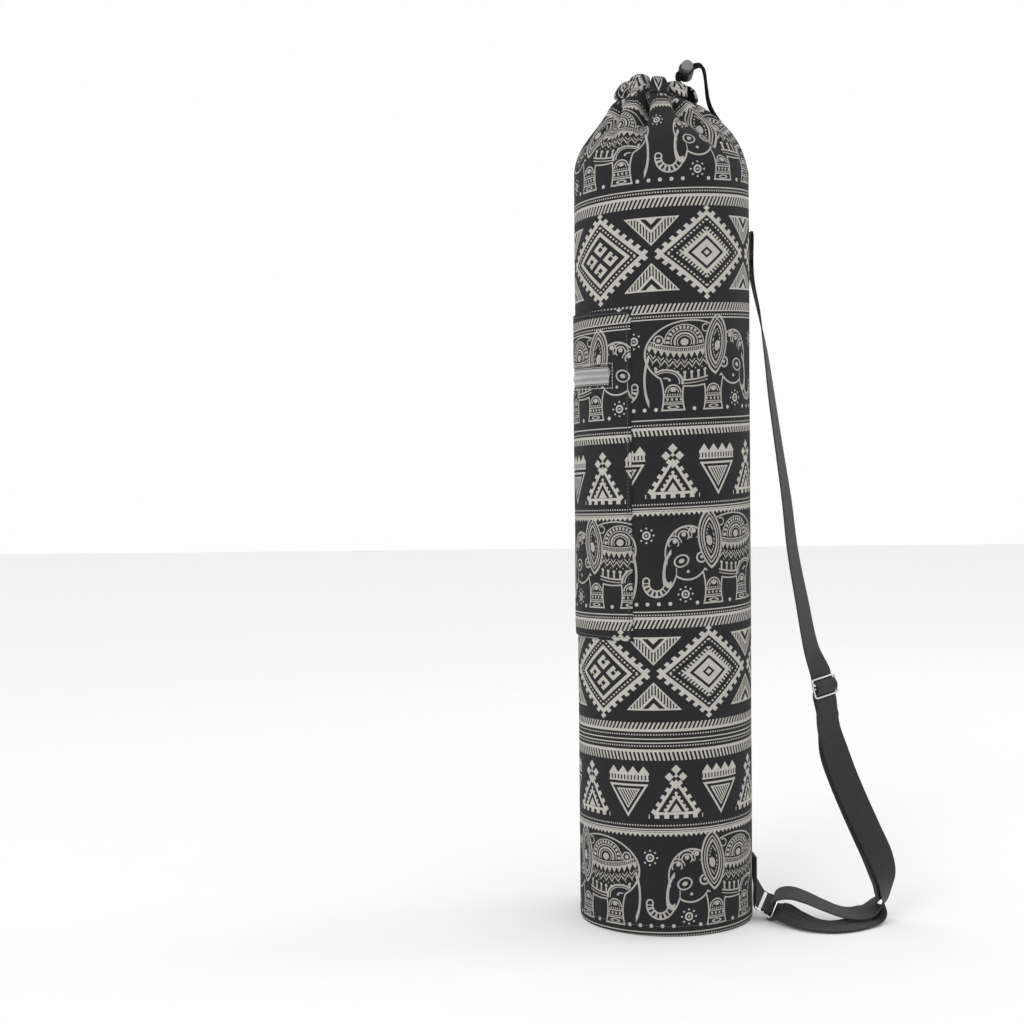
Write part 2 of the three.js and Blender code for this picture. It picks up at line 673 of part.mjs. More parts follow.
// The lower tab: a short webbing loop sewn to the body's side and holding the lower slider.
function lowerTab() {
  const foot = TAB_TOP - TAB_SEWN;
  const bar = -SLIDER_PITCH;
  const side = (layers, height) => sideStation(TAB_AZIMUTH, layers, height);
  const inner = [side(0, TAB_TOP), side(0, foot)];
  const outer = [side(1, foot), side(1, TAB_TOP)];
  const loop = [
    station(lowerFrame, bar, -WRAP),
    station(lowerFrame, bar + 0.7 * WRAP, -0.7 * WRAP),
    station(lowerFrame, bar + WRAP, 0),
    station(lowerFrame, bar + 0.7 * WRAP, 0.7 * WRAP),
    station(lowerFrame, bar, WRAP),
  ];
  const down = smooth([...inner, loop[0]], 3);
  const up = smooth([loop[4], ...outer], 3);
  return webbing([...down, ...loop.slice(1, -1), ...up], TAB_WIDTH);
}

// The lock's axes: press runs out of the button's face, hole is the way the cords pass.
const press = vec(0, -Math.cos(radians(LOCK_TIP_UP)), Math.sin(radians(LOCK_TIP_UP)));
const hole = vec(Math.cos(radians(HOLE_RISE)), 0, Math.sin(radians(HOLE_RISE)));
hole.addScaledVector(press, -hole.dot(press)).normalize();
const stack = press.clone().cross(hole);
const lockCentre = vec(LOCK_CENTRE.out, -LOCK_CENTRE.fore, SEAM_HEIGHT + LOCK_CENTRE.up);
const lockTurn = new THREE.Matrix4().makeBasis(hole, stack, press);

// The cords' passage: two cords side by side, CORD_RISE above the stem's end when it is pressed in.
const PASSAGE_WIDTH = 2 * CORD_DIAMETER + 3 * LOCK_CLEARANCE;
const PASSAGE_HEIGHT = CORD_DIAMETER + 2 * LOCK_CLEARANCE;
const PASSAGE_AT = -BARREL_LENGTH / 2 + BARREL_FLOOR + LOCK_TRAVEL + CORD_RISE;
const STEM_DIAMETER = BARREL_DIAMETER - 2 * BARREL_WALL;
const LOCK_SIDES = 24;

function turned(profile) {
  const points = profile.map(([r, y]) => new THREE.Vector2(r, y));
  const geometry = new THREE.LatheGeometry(points, LOCK_SIDES);
  geometry.rotateX(Math.PI / 2);
  return geometry;
}

// A box through the lock along the cords, from low to high along the press axis.
function passage(width, low, high) {
  const box = new THREE.BoxGeometry(2 * BARREL_DIAMETER, width, high - low);
  box.translate(0, 0, (low + high) / 2);
  return box;
}

// The barrel: a cup open towards the button, with the cords' hole across it.
function lockBarrel() {
  const half = BARREL_LENGTH / 2;
  const outer = BARREL_DIAMETER / 2;
  const bore = STEM_DIAMETER / 2 + LOCK_CLEARANCE;
  const cup = turned([
    [0, -half],
    [outer - BARREL_ROUND, -half],
    [outer, -half + BARREL_ROUND],
    [outer, half - BARREL_ROUND],
    [outer - LIP_ROUND, half],
    [bore, half],
    [bore, -half + BARREL_FLOOR],
    [0, -half + BARREL_FLOOR],
  ]);
  const low = PASSAGE_AT - PASSAGE_HEIGHT / 2;
  return cut(cup, passage(PASSAGE_WIDTH, low, low + PASSAGE_HEIGHT));
}

// The button: a stem in the barrel with a slot long enough for its travel, and a round head.
function lockButton() {
  const half = BARREL_LENGTH / 2;
  const stem = STEM_DIAMETER / 2;
  const head = BUTTON_DIAMETER / 2;
  const low = -half + BARREL_FLOOR + LOCK_TRAVEL + LOCK_CLEARANCE;
  const headFoot = half + LOCK_TRAVEL + LOCK_CLEARANCE;
  const body = turned([
    [0, low],
    [stem, low],
    [stem, headFoot],
    [head, headFoot],
    [head, headFoot + BUTTON_HEAD - LIP_ROUND],
    [head - LIP_ROUND, headFoot + BUTTON_HEAD],
    [0, headFoot + BUTTON_HEAD],
  ]);
  const slotLow = PASSAGE_AT - PASSAGE_HEIGHT / 2;
  return cut(body, passage(PASSAGE_WIDTH, slotLow, slotLow + PASSAGE_HEIGHT + LOCK_TRAVEL));
}

// Where the two cords pass the barrel: side is -1 or 1, along is measured on the hole's axis.
function inLock(side, along) {
  const spacing = (CORD_DIAMETER + LOCK_CLEARANCE) / 2;
  return lockCentre
    .clone()
    .addScaledVector(press, PASSAGE_AT)
    .addScaledVector(stack, side * spacing)
    .addScaledVector(hole, along);
}

// The drawcord's held stretch: from inside the lock, down into one end of the casing, round it and
// back up to the lock.
function drawcordLoop() {
  const inCasing = (azimuth) =>
    polar(azimuth, CORD_LOOP_RADIUS, casingAt(azimuth).height, MOUTH_SHIFT);
  const from = EXIT_AZIMUTH + EXIT_WIDTH / 2 - EXIT_RUN;
  const to = EXIT_AZIMUTH + 360 - EXIT_WIDTH / 2 + EXIT_RUN;
  const degreesPerStep = 9;
  const spans = Math.ceil((to - from) / degreesPerStep);
  const round = [];
  for (let i = 0; i <= spans; i++) round.push(inCasing(from + ((to - from) * i) / spans));
  const entry = -BARREL_DIAMETER / 2 - CORD_DIAMETER / 2;
  const rise = (side, end) => {
    const mouth = inLock(side, entry);
    const middle = mouth.clone().lerp(end, 0.5);
    return [inLock(side, -GAP / 2), inLock(side, entry / 2), mouth, middle];
  };
  return cordTube([...rise(-1, round[0]), ...round, ...rise(1, round.at(-1)).reverse()]);
}

// The free cord tails: the middle line of the pair from the lock over the shoulder and down behind
// it, with the way from one cord to the other.
const TAIL_ROUTE = [
  [34.2, -15.5, 781.6, -0.5, 0.2, 0.82],
  [37.4, -14.6, 779.4, -0.3, 0.7, 0.65],
  [39.2, -13.2, 774.5, 0.0, 0.97, 0.3],
  [40.3, -11.3, 768.5, 0.1, 0.98, 0.2],
  [41.6, -8.2, 760.5, 0.0, 0.97, 0.25],
  [43.2, -4.0, 753.0, -0.15, 0.93, 0.3],
  [46.2, 1.0, 746.0, -0.35, 0.86, 0.35],
  [51.0, 7.5, 739.8, -0.5, 0.78, 0.3],
  [57.0, 15.5, 733.5, -0.6, 0.75, 0.28],
  [62.0, 24.0, 725.0, -0.58, 0.78, 0.2],
  [65.5, 32.0, 714.0, -0.55, 0.82, 0.1],
  [68.0, 38.5, 701.0, -0.55, 0.84, 0],
  [69.6, 42.6, 687.0, -0.53, 0.85, 0],
  [70.2, 43.8, 672.0, -0.53, 0.85, 0],
  [70.2, 43.9, 655.0, -0.53, 0.85, 0],
  [71.0, 44.5, 638.0, -0.53, 0.85, 0],
  [72.4, 45.4, 622.0, -0.53, 0.85, 0],
];

function tailPoints(side) {
  const spacing = (CORD_DIAMETER + GAP) / 2;
  const start = [inLock(side, GAP / 2), inLock(side, BARREL_DIAMETER / 2 + GAP)];
  const middle = TAIL_ROUTE.map(([x, y, z]) => vec(x, y, z));
  const route = TAIL_ROUTE.map(([, , , u, v, w], i) => {
    const before = middle[Math.max(0, i - 1)];
    const after = middle[Math.min(middle.length - 1, i + 1)];
    const along = after.clone().sub(before).normalize();
    const aside = vec(u, v, w);
    aside.addScaledVector(along, -aside.dot(along)).normalize();
    return middle[i].clone().addScaledVector(aside, side * spacing);
  });
  return [...start, ...route];
}

// The knot's outline: out is the share of half its diameter, down the share of its length.
const KNOT_OUTLINE = [
  { out: 0, down: 1 },
  { out: 0.6, down: 0.95 },
  { out: 1, down: 0.7 },
  { out: 1, down: 0.35 },
  { out: 0.85, down: 0 },
  { out: 0, down: 0 },
];

// The knot that joins the two tails' ends.
function tailKnot() {
  const [x, y, z] = TAIL_ROUTE[TAIL_ROUTE.length - 1];
  const points = KNOT_OUTLINE.map(
    ({ out, down }) => new THREE.Vector2((out * KNOT_DIAMETER) / 2, -down * KNOT_LENGTH),
  );
  const facets = 12;
  const geometry = new THREE.LatheGeometry(points, facets);
  geometry.rotateX(Math.PI / 2);
  geometry.translate(x, y, z - GAP);
  return geometry;
}

// Materials
const finish = (color, roughness, metalness = 0) =>
  new THREE.MeshStandardMaterial({ color, roughness, metalness });
const canvas = finish(0x2b2b2d, 0.85);
const webbingBlack = finish(0x2c2d2f, 0.8);
const steel = finish(0xb8babd, 0.3, 1);
const zipGrey = finish(0xb9b9b9, 0.6);
const cordBlack = finish(0x19191b, 0.8);
const lockBlack = finish(0x202022, 0.45);
const buttonGrey = finish(0x707274, 0.45);

const bag = new THREE.Group();

function add(name, geometry, material, parent = bag) {
  const mesh = new THREE.Mesh(geometry, material);
  mesh.name = name;
  parent.add(mesh);
  return mesh;
}

function addSlider(name, frame) {
  const mesh = add(name, slider(), steel);
  const across = frame.along.clone().cross(frame.face);
  const turn = new THREE.Matrix4().makeBasis(across, frame.along, frame.face);
  mesh.quaternion.setFromRotationMatrix(turn);
  mesh.position.copy(frame.centre);
}

add("sleeve", sleeve(), canvas);
add("casing", casing(), canvas);
add("base_panel", basePanel(), canvas);
add("pocket_panel", pocketPanel(), canvas);
add("zip", zip(), zipGrey);
add("zip_pull", zipPull(), steel);
add("strap", strap(), webbingBlack);
add("lower_tab", lowerTab(), webbingBlack);
addSlider("upper_slider", upperFrame);
addSlider("lower_slider", lowerFrame);
add("drawcord_loop", drawcordLoop(), cordBlack);
add("cord_tail_1", cordTube(tailPoints(-1)), cordBlack);
add("cord_tail_2", cordTube(tailPoints(1)), cordBlack);
add("tail_knot", tailKnot(), cordBlack);

const lock = new THREE.Group();
lock.quaternion.setFromRotationMatrix(lockTurn);
lock.position.copy(lockCentre);
bag.add(lock);
add("lock_barrel", lockBarrel(), lockBlack, lock);
add("lock_button", lockButton(), buttonGrey, lock);

export default bag;
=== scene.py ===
import math
import bpy
import numpy as np
from mathutils import Matrix, Vector


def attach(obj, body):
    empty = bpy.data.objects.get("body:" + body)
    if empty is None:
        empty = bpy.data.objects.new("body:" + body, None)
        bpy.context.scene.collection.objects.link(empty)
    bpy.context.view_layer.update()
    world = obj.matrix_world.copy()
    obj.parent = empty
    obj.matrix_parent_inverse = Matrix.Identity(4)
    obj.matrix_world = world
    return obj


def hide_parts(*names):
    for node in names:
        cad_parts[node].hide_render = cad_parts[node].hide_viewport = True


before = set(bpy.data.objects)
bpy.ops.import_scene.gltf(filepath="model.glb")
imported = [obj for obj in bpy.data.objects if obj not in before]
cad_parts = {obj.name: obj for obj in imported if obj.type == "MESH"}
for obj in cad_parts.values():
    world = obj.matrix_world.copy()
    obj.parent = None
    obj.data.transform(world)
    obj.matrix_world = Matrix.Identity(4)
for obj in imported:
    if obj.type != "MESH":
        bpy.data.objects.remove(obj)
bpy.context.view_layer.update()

# Sizes are in millimetres and azimuths in degrees from the front, growing towards +X, as the frame's own
# sizes are. A mesh is put into metres where it is made.
MM = 0.001

# Sizes of the cloth body, the same as the frame's
BODY_RADIUS = 80.0
BODY_HEIGHT = 684.0
GATHER_HEIGHT = 68.0
CLOTH = 1.6
GAP = 0.3
SEAM_GAP = 0.45
HEM_HEIGHT = 5.0
HEM_INSET = 1.6
SEAM_HEIGHT = BODY_HEIGHT + GATHER_HEIGHT
BACK_AZIMUTH = 180.0

# Sizes of the gathered drawstring casing
CASING_HEIGHT = 18.0
CASING_RIDGE_RADIUS = 36.0
CASING_CREASE_RADIUS = 28.8
MOUTH_RIDGE_RADIUS = 15.0
MOUTH_CREASE_RADIUS = 19.2
CASING_SLANT = 0.42
MOUTH_SHIFT = -4.0
SECTION_POWER = 3.0
SEAM_SHARE = 0.7
CASING_CLOTH_START = 766.0
RIM_RADIUS = CASING_RIDGE_RADIUS + CASING_SLANT * CASING_HEIGHT / 2

# Sizes of the drawcord and its lock
CORD_DIAMETER = 3.0
CORD_LOOP_RADIUS = 24.0
EXIT_AZIMUTH = 60.0
EXIT_WIDTH = 30.0
EXIT_RUN = 8.0
LOCK_CENTRE = np.array([22.0, -15.0, SEAM_HEIGHT + 24.0])
LOCK_TIP_UP = 14.0
HOLE_RISE = 32.0
BARREL_DIAMETER = 14.0
BARREL_LENGTH = 15.0
BARREL_FLOOR = 1.6
LOCK_TRAVEL = 4.0
LOCK_CLEARANCE = 0.25
PASSAGE_AT = -BARREL_LENGTH / 2 + BARREL_FLOOR + LOCK_TRAVEL + 4
KNOT_DIAMETER = 8.0
KNOT_LENGTH = 11.0

# Sizes of the patch pocket and its zip
POCKET_RIGHT_AZIMUTH = -25.0
POCKET_WIDTH = 193.0
POCKET_BOTTOM = 263.0
POCKET_HEIGHT = 294.0
POCKET_INNER = BODY_RADIUS + GAP
POCKET_OUTER = POCKET_INNER + CLOTH
POCKET_SEAM = 3.2
ZIP_CENTRE_HEIGHT = 499.0
ZIP_MARGIN = 20.0
ZIP_HEIGHT = 18.0
ZIP_TAPE = 1.0
COIL_HEIGHT = 6.0

# Sizes of the webbing and its two sliders
WEB_WIDTH = 25.0
WEB_THICK = 1.4
STRAP_TOP = 632.0
STRAP_SEWN = 26.0
STRAP_REACH = 125.0
STRAP_FORWARD = 66.0
STRAP_SIDE_AZIMUTH = 94.0
SLIDER_HEIGHT = 19.0
SLIDER_WIDTH = 30.0
SLIDER_WIRE = 2.0
TAIL_LENGTH = 22.0
SECOND_LAYER_ASIDE = 5.0
TAB_WIDTH = 24.0
TAB_AZIMUTH = 91.0
TAB_TOP = 54.0
TAB_SEWN = 16.0
SLIDER_PITCH = (SLIDER_HEIGHT - SLIDER_WIRE) / 2
WRAP = SLIDER_WIRE / 2 + GAP + WEB_THICK / 2
LAYER = WEB_THICK + GAP

# Creases round the gathered top: azimuth, depth as a share of the full one, and the lift of the lobe
# after it as a share of CASING_HEIGHT.
FOLDS = np.array([
    (-58, 0.9, 0.2),
    (-19, 1.0, 0.02),
    (20, 0.8, -0.2),
    (60, 1.0, -0.22),
    (98, 0.85, -0.05),
    (131, 1.0, 0.1),
    (169, 0.8, -0.1),
    (203, 1.0, 0.05),
    (241, 0.9, 0.12),
    (272, 1.0, 0.0),
], float)

# The pinch in each crease: how deep it bites, the turn by which it wanders on its way down, and its reach
# in degrees
PINCHES = np.array([
    (-58, 1.0, 22, 6),
    (-19, 1.3, -4, 5.5),
    (20, 1.2, 26, 5.5),
    (60, 0.6, 10, 8),
    (98, 0.9, -8, 6.5),
    (131, 1.1, 10, 6),
    (169, 0.8, -12, 6.5),
    (203, 1.1, 6, 6),
    (241, 0.9, -10, 6.5),
    (272, 1.2, 14, 6),
], float)
PINCH_DEPTH = 9.0
PINCH_DROP = 4.0

# The thick roll of cloth that runs from the cord's way out down to the side
ROLL_AZIMUTH = 68.0
ROLL_REACH = 18.0
ROLL_DEPTH = 8.0

# Rows of the shoulder: share of its height, share of the way from the rim's radius to the body's, crease
# depth
SHOULDER = np.array([
    (-0.2, 1.0, 0.0),
    (0.0, 1.0, 0.0),
    (0.2, 0.93, 0.05),
    (0.36, 0.82, 0.3),
    (0.52, 0.67, 0.9),
    (0.68, 0.51, 1.7),
    (0.84, 0.36, 2.3),
    (0.94, 0.19, 1.7),
    (1.0, 0.0, 1.0),
], float)

# The free tails' middle line and the way from one cord to the other: x, y, z, u, v, w
TAIL_ROUTE = np.array([
    (34.2, -15.5, 781.6, -0.5, 0.2, 0.82),
    (37.4, -14.6, 779.4, -0.3, 0.7, 0.65),
    (39.2, -13.2, 774.5, 0.0, 0.97, 0.3),
    (40.3, -11.3, 768.5, 0.1, 0.98, 0.2),
    (41.6, -8.2, 760.5, 0.0, 0.97, 0.25),
    (43.2, -4.0, 753.0, -0.15, 0.93, 0.3),
    (46.2, 1.0, 746.0, -0.35, 0.86, 0.35),
    (51.0, 7.5, 739.8, -0.5, 0.78, 0.3),
    (57.0, 15.5, 733.5, -0.6, 0.75, 0.28),
    (62.0, 24.0, 725.0, -0.58, 0.78, 0.2),
    (65.5, 32.0, 714.0, -0.55, 0.82, 0.1),
    (68.0, 38.5, 701.0, -0.55, 0.84, 0),
    (69.6, 42.6, 687.0, -0.53, 0.85, 0),
    (70.2, 43.8, 672.0, -0.53, 0.85, 0),
    (70.2, 43.9, 655.0, -0.53, 0.85, 0),
    (71.0, 44.5, 638.0, -0.53, 0.85, 0),
    (72.4, 45.4, 622.0, -0.53, 0.85, 0),
], float)

# Places on the strap, in columns: out of STRAP_REACH from the body's side, fore of STRAP_FORWARD towards
# the viewer, up of STRAP_TOP, turn of the webbing's width from front-to-back in degrees, and lean of its
# far edge.
UPPER_RUN = np.array([
    (0.035, -0.02, 0.925, 2, 0),
    (0.075, 0.0, 0.885, 5, 0),
    (0.12, 0.02, 0.83, 14, 0),
    (0.165, 0.05, 0.757, 21, 0),
    (0.215, 0.08, 0.683, 24, 0),
    (0.265, 0.11, 0.61, 28, 0),
    (0.305, 0.13, 0.537, 31, 0),
    (0.37, 0.15, 0.463, 36, 0),
    (0.44, 0.17, 0.39, 42, 5),
])
DOUBLED_RUN = np.array([
    (0.56, 0.2, 0.277, 66, 5),
    (0.612, 0.22, 0.241, 77, 1),
    (0.676, 0.26, 0.203, 84, 0),
    (0.752, 0.3, 0.166, 84, 0),
    (0.836, 0.35, 0.128, 82, 0),
    (0.915, 0.4, 0.092, 78, 0),
    (0.948, 0.44, 0.067, 60, 0),
    (0.948, 0.46, 0.047, 38, 0),
    (0.935, 0.48, 0.031, 26, 0),
])
FLOOR_STRAND = np.array([
    (0.895, 0.53, 0.0165, 4, 10),
    (0.84, 0.61, 0.0085, -26, 9),
    (0.76, 0.74, 0.0065, -34, 8),
    (0.64, 0.9, 0.006, -16, 8),
    (0.5, 0.98, 0.006, 2, 8),
    (0.37, 0.9, 0.0075, 22, 10),
    (0.27, 0.72, 0.0105, 33, 16),
    (0.2, 0.53, 0.0135, 30, 20),
])
HUMP_STRAND = np.array([
    (0.135, 0.38, 0.0325, 24, 20),
    (0.185, 0.44, 0.0395, 20, 15),
    (0.26, 0.52, 0.0415, 12, 12),
    (0.35, 0.6, 0.0375, 6, 12),
    (0.47, 0.68, 0.0285, -2, 13),
    (0.6, 0.72, 0.0195, -10, 13),
    (0.72, 0.66, 0.0155, -18, 13),
    (0.81, 0.57, 0.0185, -10, 12),
    (0.87, 0.5, 0.0275, 8, 8),
])
UPPER_SLIDER = np.array([(0.535, 0.18, 0.337, 56, 9)])
LOWER_SLIDER = np.array([(0.083, 0.34, 0.0225, 24.6, 23.6)])
UPPER_SLIDER_ALONG = np.array([0.21, -0.03, -0.977])
LOWER_SLIDER_ALONG = np.array([0.82, -0.1, -0.57])

# The camera, fitted to the photograph
CAMERA_PLACE = (-140.2, -1619.3, 434.4)
CAMERA_DIP = 2.047
CAMERA_ROLL = -0.59
CAMERA_LENS = 61.49

# The studio: the floor's half side in millimetres, and the lights in metres: name, place, size, watts
FLOOR_HALF = 6000.0
SKY_STRENGTH = 1.0
LIGHT_AIM = (0.03, 0.0, 0.4)
LIGHTS = (("key light", (-1.5, -2.4, 2.3), 1.4, 26.0), ("rim light", (1.9, 0.6, 1.9), 1.0, 9.0))


def unit(vectors):
    """Each vector divided by its length."""
    return vectors / np.linalg.norm(vectors, axis=-1, keepdims=True)


def polar(azimuth, radius, height, shift=0.0):
    """Points at an azimuth, radius and height about the bag's axis: x = r sin a + shift, y = -r cos a."""
    a = np.radians(azimuth)
    parts = np.broadcast_arrays(radius * np.sin(a) + shift, -radius * np.cos(a), height)
    return np.stack(parts, -1)


def eased(knots, values, t):
    """A smooth curve through values at knots: cubic spans whose end slopes are the mean of their
    neighbours'."""
    slope = np.gradient(values, knots)
    k = np.clip(np.searchsorted(knots, t, side="right") - 1, 0, len(knots) - 2)
    span = knots[k + 1] - knots[k]
    s = (t - knots[k]) / span
    start = (2 * s**3 - 3 * s**2 + 1) * values[k] + (s**3 - 2 * s**2 + s) * span * slope[k]
    return start + (3 * s**2 - 2 * s**3) * values[k + 1] + (s**3 - s**2) * span * slope[k + 1]


def smooth_line(points, per_span):
    """A smooth line through points (and whatever other columns they carry), with so many steps a span. It
    is the centripetal Catmull-Rom curve: knots are spaced by the square root of the distance between
    points."""
    ends = np.vstack([2 * points[0] - points[1], points, 2 * points[-1] - points[-2]])
    gaps = np.sqrt(np.maximum(np.linalg.norm(np.diff(ends[:, :3], axis=0), axis=1), 1e-6))[:, None]
    p0, p1, p2, p3 = ends[:-3], ends[1:-2], ends[2:-1], ends[3:]
    d0, d1, d2 = gaps[:-2], gaps[1:-1], gaps[2:]
    slope1 = ((p1 - p0) / d0 - (p2 - p0) / (d0 + d1) + (p2 - p1) / d1) * d1
    slope2 = ((p2 - p1) / d1 - (p3 - p1) / (d1 + d2) + (p3 - p2) / d2) * d1
    s = (np.arange(per_span) / per_span)[None, :, None]
    terms = [
        (2 * s**3 - 3 * s**2 + 1) * p1[:, None],
        (s**3 - 2 * s**2 + s) * slope1[:, None],
        (3 * s**2 - 2 * s**3) * p2[:, None],
        (s**3 - s**2) * slope2[:, None],
    ]
    return np.vstack([sum(terms).reshape(-1, points.shape[1]), points[-1:]])


def running_length(line):
    """The length along a line up to each of its points."""
    steps = np.linalg.norm(np.diff(line, axis=0), axis=1)
    return np.concatenate([[0.0], np.cumsum(steps)])


def along_line(line, far, at):
    """The places on a line at distances along it, from the running length at its points."""
    return np.stack([np.interp(at, far, column) for column in line.T], -1)


def resampled(line, count):
    """A line through so many places, evenly spaced along it."""
    far = running_length(line)
    return along_line(line, far, np.linspace(0, far[-1], count))


class Skin:
    """Faces and their corner UVs, gathered from grids and joined into one mesh."""

    def __init__(self):
        self.points, self.loops, self.sizes, self.uvs, self.count = [], [], [], [], 0

    def grid(self, points, uv=None, close_rows=False, close_columns=False):
        """Quads over a grid of points. uv has one row or column more where the grid closes on itself."""
        rows, columns = points.shape[:2]
        i, j = np.meshgrid(
            np.arange(rows - (not close_rows)), np.arange(columns - (not close_columns)), indexing="ij"
        )
        near, far = (i + 1) % rows, (j + 1) % columns
        quads = np.stack([i * columns + j, i * columns + far, near * columns + far, near * columns + j], -1)
        if uv is None:
            uv = np.zeros((rows + close_rows, columns + close_columns, 2))
        corners = np.stack([uv[i, j], uv[i, j + 1], uv[i + 1, j + 1], uv[i + 1, j]], -2)
        self.faces(points.reshape(-1, 3), quads.reshape(-1, 4), corners.reshape(-1, 2))
        return self

    def faces(self, points, polygons, uvs=None):
        """Polygons of one size over points of their own."""
        polygons = np.asarray(polygons)
        self.points.append(points)
        self.loops.append(polygons.ravel() + self.count)
        self.sizes.append(np.full(len(polygons), polygons.shape[1]))
        self.uvs.append(np.zeros((polygons.size, 2)) if uvs is None else uvs)
        self.count += len(points)
        return self

    def caps(self, rings, rings_uv=None):
        """Closes the two ends of the tube that was added last with one face each."""
        last, sides = rings.shape[:2]
        start = self.count - last * sides
        for ring, order in ((0, -1), (last - 1, 1)):
            self.loops.append((start + ring * sides + np.arange(sides))[::order])
            self.sizes.append(np.array([sides]))
            uv = np.zeros((sides, 2)) if rings_uv is None else rings_uv[ring, :sides]
            self.uvs.append(uv[::order])
        return self

    def mesh(self, name):
        """One mesh in metres, its faces turned outwards: they are reversed if the volume they enclose is
        negative."""
        points, loops = np.vstack(self.points), np.concatenate(self.loops)
        sizes, uvs = np.concatenate(self.sizes), np.vstack(self.uvs)
        starts = np.concatenate([[0], np.cumsum(sizes)[:-1]])
        first, second, third = points[loops[starts]], points[loops[starts + 1]], points[loops[starts + 2]]
        fourth = points[loops[starts + np.minimum(3, sizes - 1)]]
        volume = np.einsum("ij,ij->", first, np.cross(second, third) + np.cross(third, fourth))
        if volume < 0:
            within = np.arange(len(loops)) - np.repeat(starts, sizes)
            turned = np.repeat(starts + sizes - 1, sizes) - within
            loops, uvs = loops[turned], uvs[turned]
        mesh = bpy.data.meshes.new(name)
        mesh.vertices.add(len(points))
        mesh.vertices.foreach_set("co", (points * MM).ravel())
        mesh.loops.add(len(loops))
        mesh.loops.foreach_set("vertex_index", loops)
        mesh.polygons.add(len(sizes))
        mesh.polygons.foreach_set("loop_start", starts)
        mesh.polygons.foreach_set("use_smooth", np.ones(len(sizes), bool))
        mesh.uv_layers.new(name="cloth").uv.foreach_set("vector", uvs.ravel())
        mesh.update(calc_edges=True)
        mesh.validate()
        return mesh


def add_piece(name, skin, material, replaces=(), body="root"):
    """One piece of the bag in the scene, riding on a CAD body and standing for the nodes it replaces."""
    piece = bpy.data.objects.new(name, skin.mesh(name))
    bpy.context.scene.collection.objects.link(piece)
    piece.data.materials.append(material)
    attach(piece, body)
    if replaces:
        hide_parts(*replaces)
    return piece


def ring_profile(width, height, power=2.0, sides=12):
    """A closed oval: |x / a| and |y / b|, each raised to power, add up to one."""
    a = 2 * np.pi * (np.arange(sides) + 0.5) / sides
    share = 2 / power
    x = np.sign(np.cos(a)) * np.abs(np.cos(a)) ** share
    y = np.sign(np.sin(a)) * np.abs(np.sin(a)) ** share
    return np.stack([x * width / 2, y * height / 2], -1)


def sweep(skin, path, aside, profile, swell=None, closed=False, square=True):
    """Carries a profile along a path: each point is path + x * aside + y * (along x aside). swell scales
    the profile at each station. Where the sweep is square, aside is first turned at right angles to the
    path. UVs are the distance round the profile and the length along the path."""
    along = unit(np.roll(path, -1, 0) - np.roll(path, 1, 0)) if closed else unit(np.gradient(path, axis=0))
    if square:
        aside = unit(aside - np.sum(aside * along, -1, keepdims=True) * along)
    face = unit(np.cross(along, aside))
    size = np.ones(len(path)) if swell is None else swell
    x, y = (profile[None, :, k, None] * size[:, None, None] for k in (0, 1))
    rings = path[:, None] + x * aside[:, None] + y * face[:, None]
    loop = np.vstack([profile, profile[:1]])
    far = running_length(np.vstack([path, path[:1]]) if closed else path)
    uv = np.stack(np.broadcast_arrays(running_length(loop)[None], far[:, None]), -1)
    skin.grid(rings, uv, close_rows=closed, close_columns=True)
    return skin if closed else skin.caps(rings, uv)


def cord_tube(skin, path, hint, diameter=CORD_DIAMETER, sides=14):
    """A round cord along a path, its two ends drawn in over half a diameter."""
    far = running_length(path)
    reach = diameter / 2
    near_end = np.minimum(far, far[-1] - far)
    swell = np.sqrt(1 - (1 - np.clip((near_end + 0.15 * reach) / reach, 0, 1)) ** 2)
    return sweep(skin, path, hint, ring_profile(diameter, diameter, sides=sides), swell)


def fold_at(azimuth):
    """How deep the cloth is sunk, and how high its lobe stands, at an azimuth of the gathers. With s the
    share of the way across a lobe, it sinks by |2s - 1|^2.4 times the bite of the creases beside it."""
    start = np.append(FOLDS[:, 0], FOLDS[0, 0] + 360)
    bite = np.append(FOLDS[:, 1], FOLDS[0, 1])
    lift = FOLDS[:, 2]
    a = start[0] + (azimuth - start[0]) % 360
    k = np.clip(np.searchsorted(start, a, side="right") - 1, 0, len(FOLDS) - 1)
    share = (a - start[k]) / (start[k + 1] - start[k])
    sunk = np.abs(2 * share - 1) ** 2.4 * (bite[k] + share * (bite[k + 1] - bite[k]))
    neighbour = np.where(share < 0.5, lift[k - 1], lift[(k + 1) % len(FOLDS)])
    blend = np.cos(np.pi * (share - 0.5)) / 2 + 0.5
    return sunk, neighbour + blend * (lift[k] - neighbour)


def pinch_at(azimuth, up):
    """How hard the cloth is pinched at an azimuth and a share of the way up: a bell round each crease,
    which wanders and widens on its way down, summed and kept under 1.3."""
    below = np.asarray(1.0 - up)[..., None]
    away = np.asarray(azimuth)[..., None] - PINCHES[:, 0] - PINCHES[:, 2] * below
    away = (away + 180) % 360 - 180
    reach = PINCHES[:, 3] * (1 + 0.5 * below)
    return np.minimum(np.sum(PINCHES[:, 1] * np.exp(-((away / reach) ** 2)), -1), 1.3)


def casing_at(azimuth):
    """The middle, half width and middle height of the casing's oval section at an azimuth."""
    sunk, lift = fold_at(azimuth)
    outer = CASING_RIDGE_RADIUS - sunk * (CASING_RIDGE_RADIUS - CASING_CREASE_RADIUS)
    inner = MOUTH_RIDGE_RADIUS + sunk * (MOUTH_CREASE_RADIUS - MOUTH_RIDGE_RADIUS)
    height = SEAM_HEIGHT + CASING_HEIGHT * (0.5 + lift) - PINCH_DROP * pinch_at(azimuth, 1.0)
    return (outer + inner) / 2, (outer - inner) / 2, height


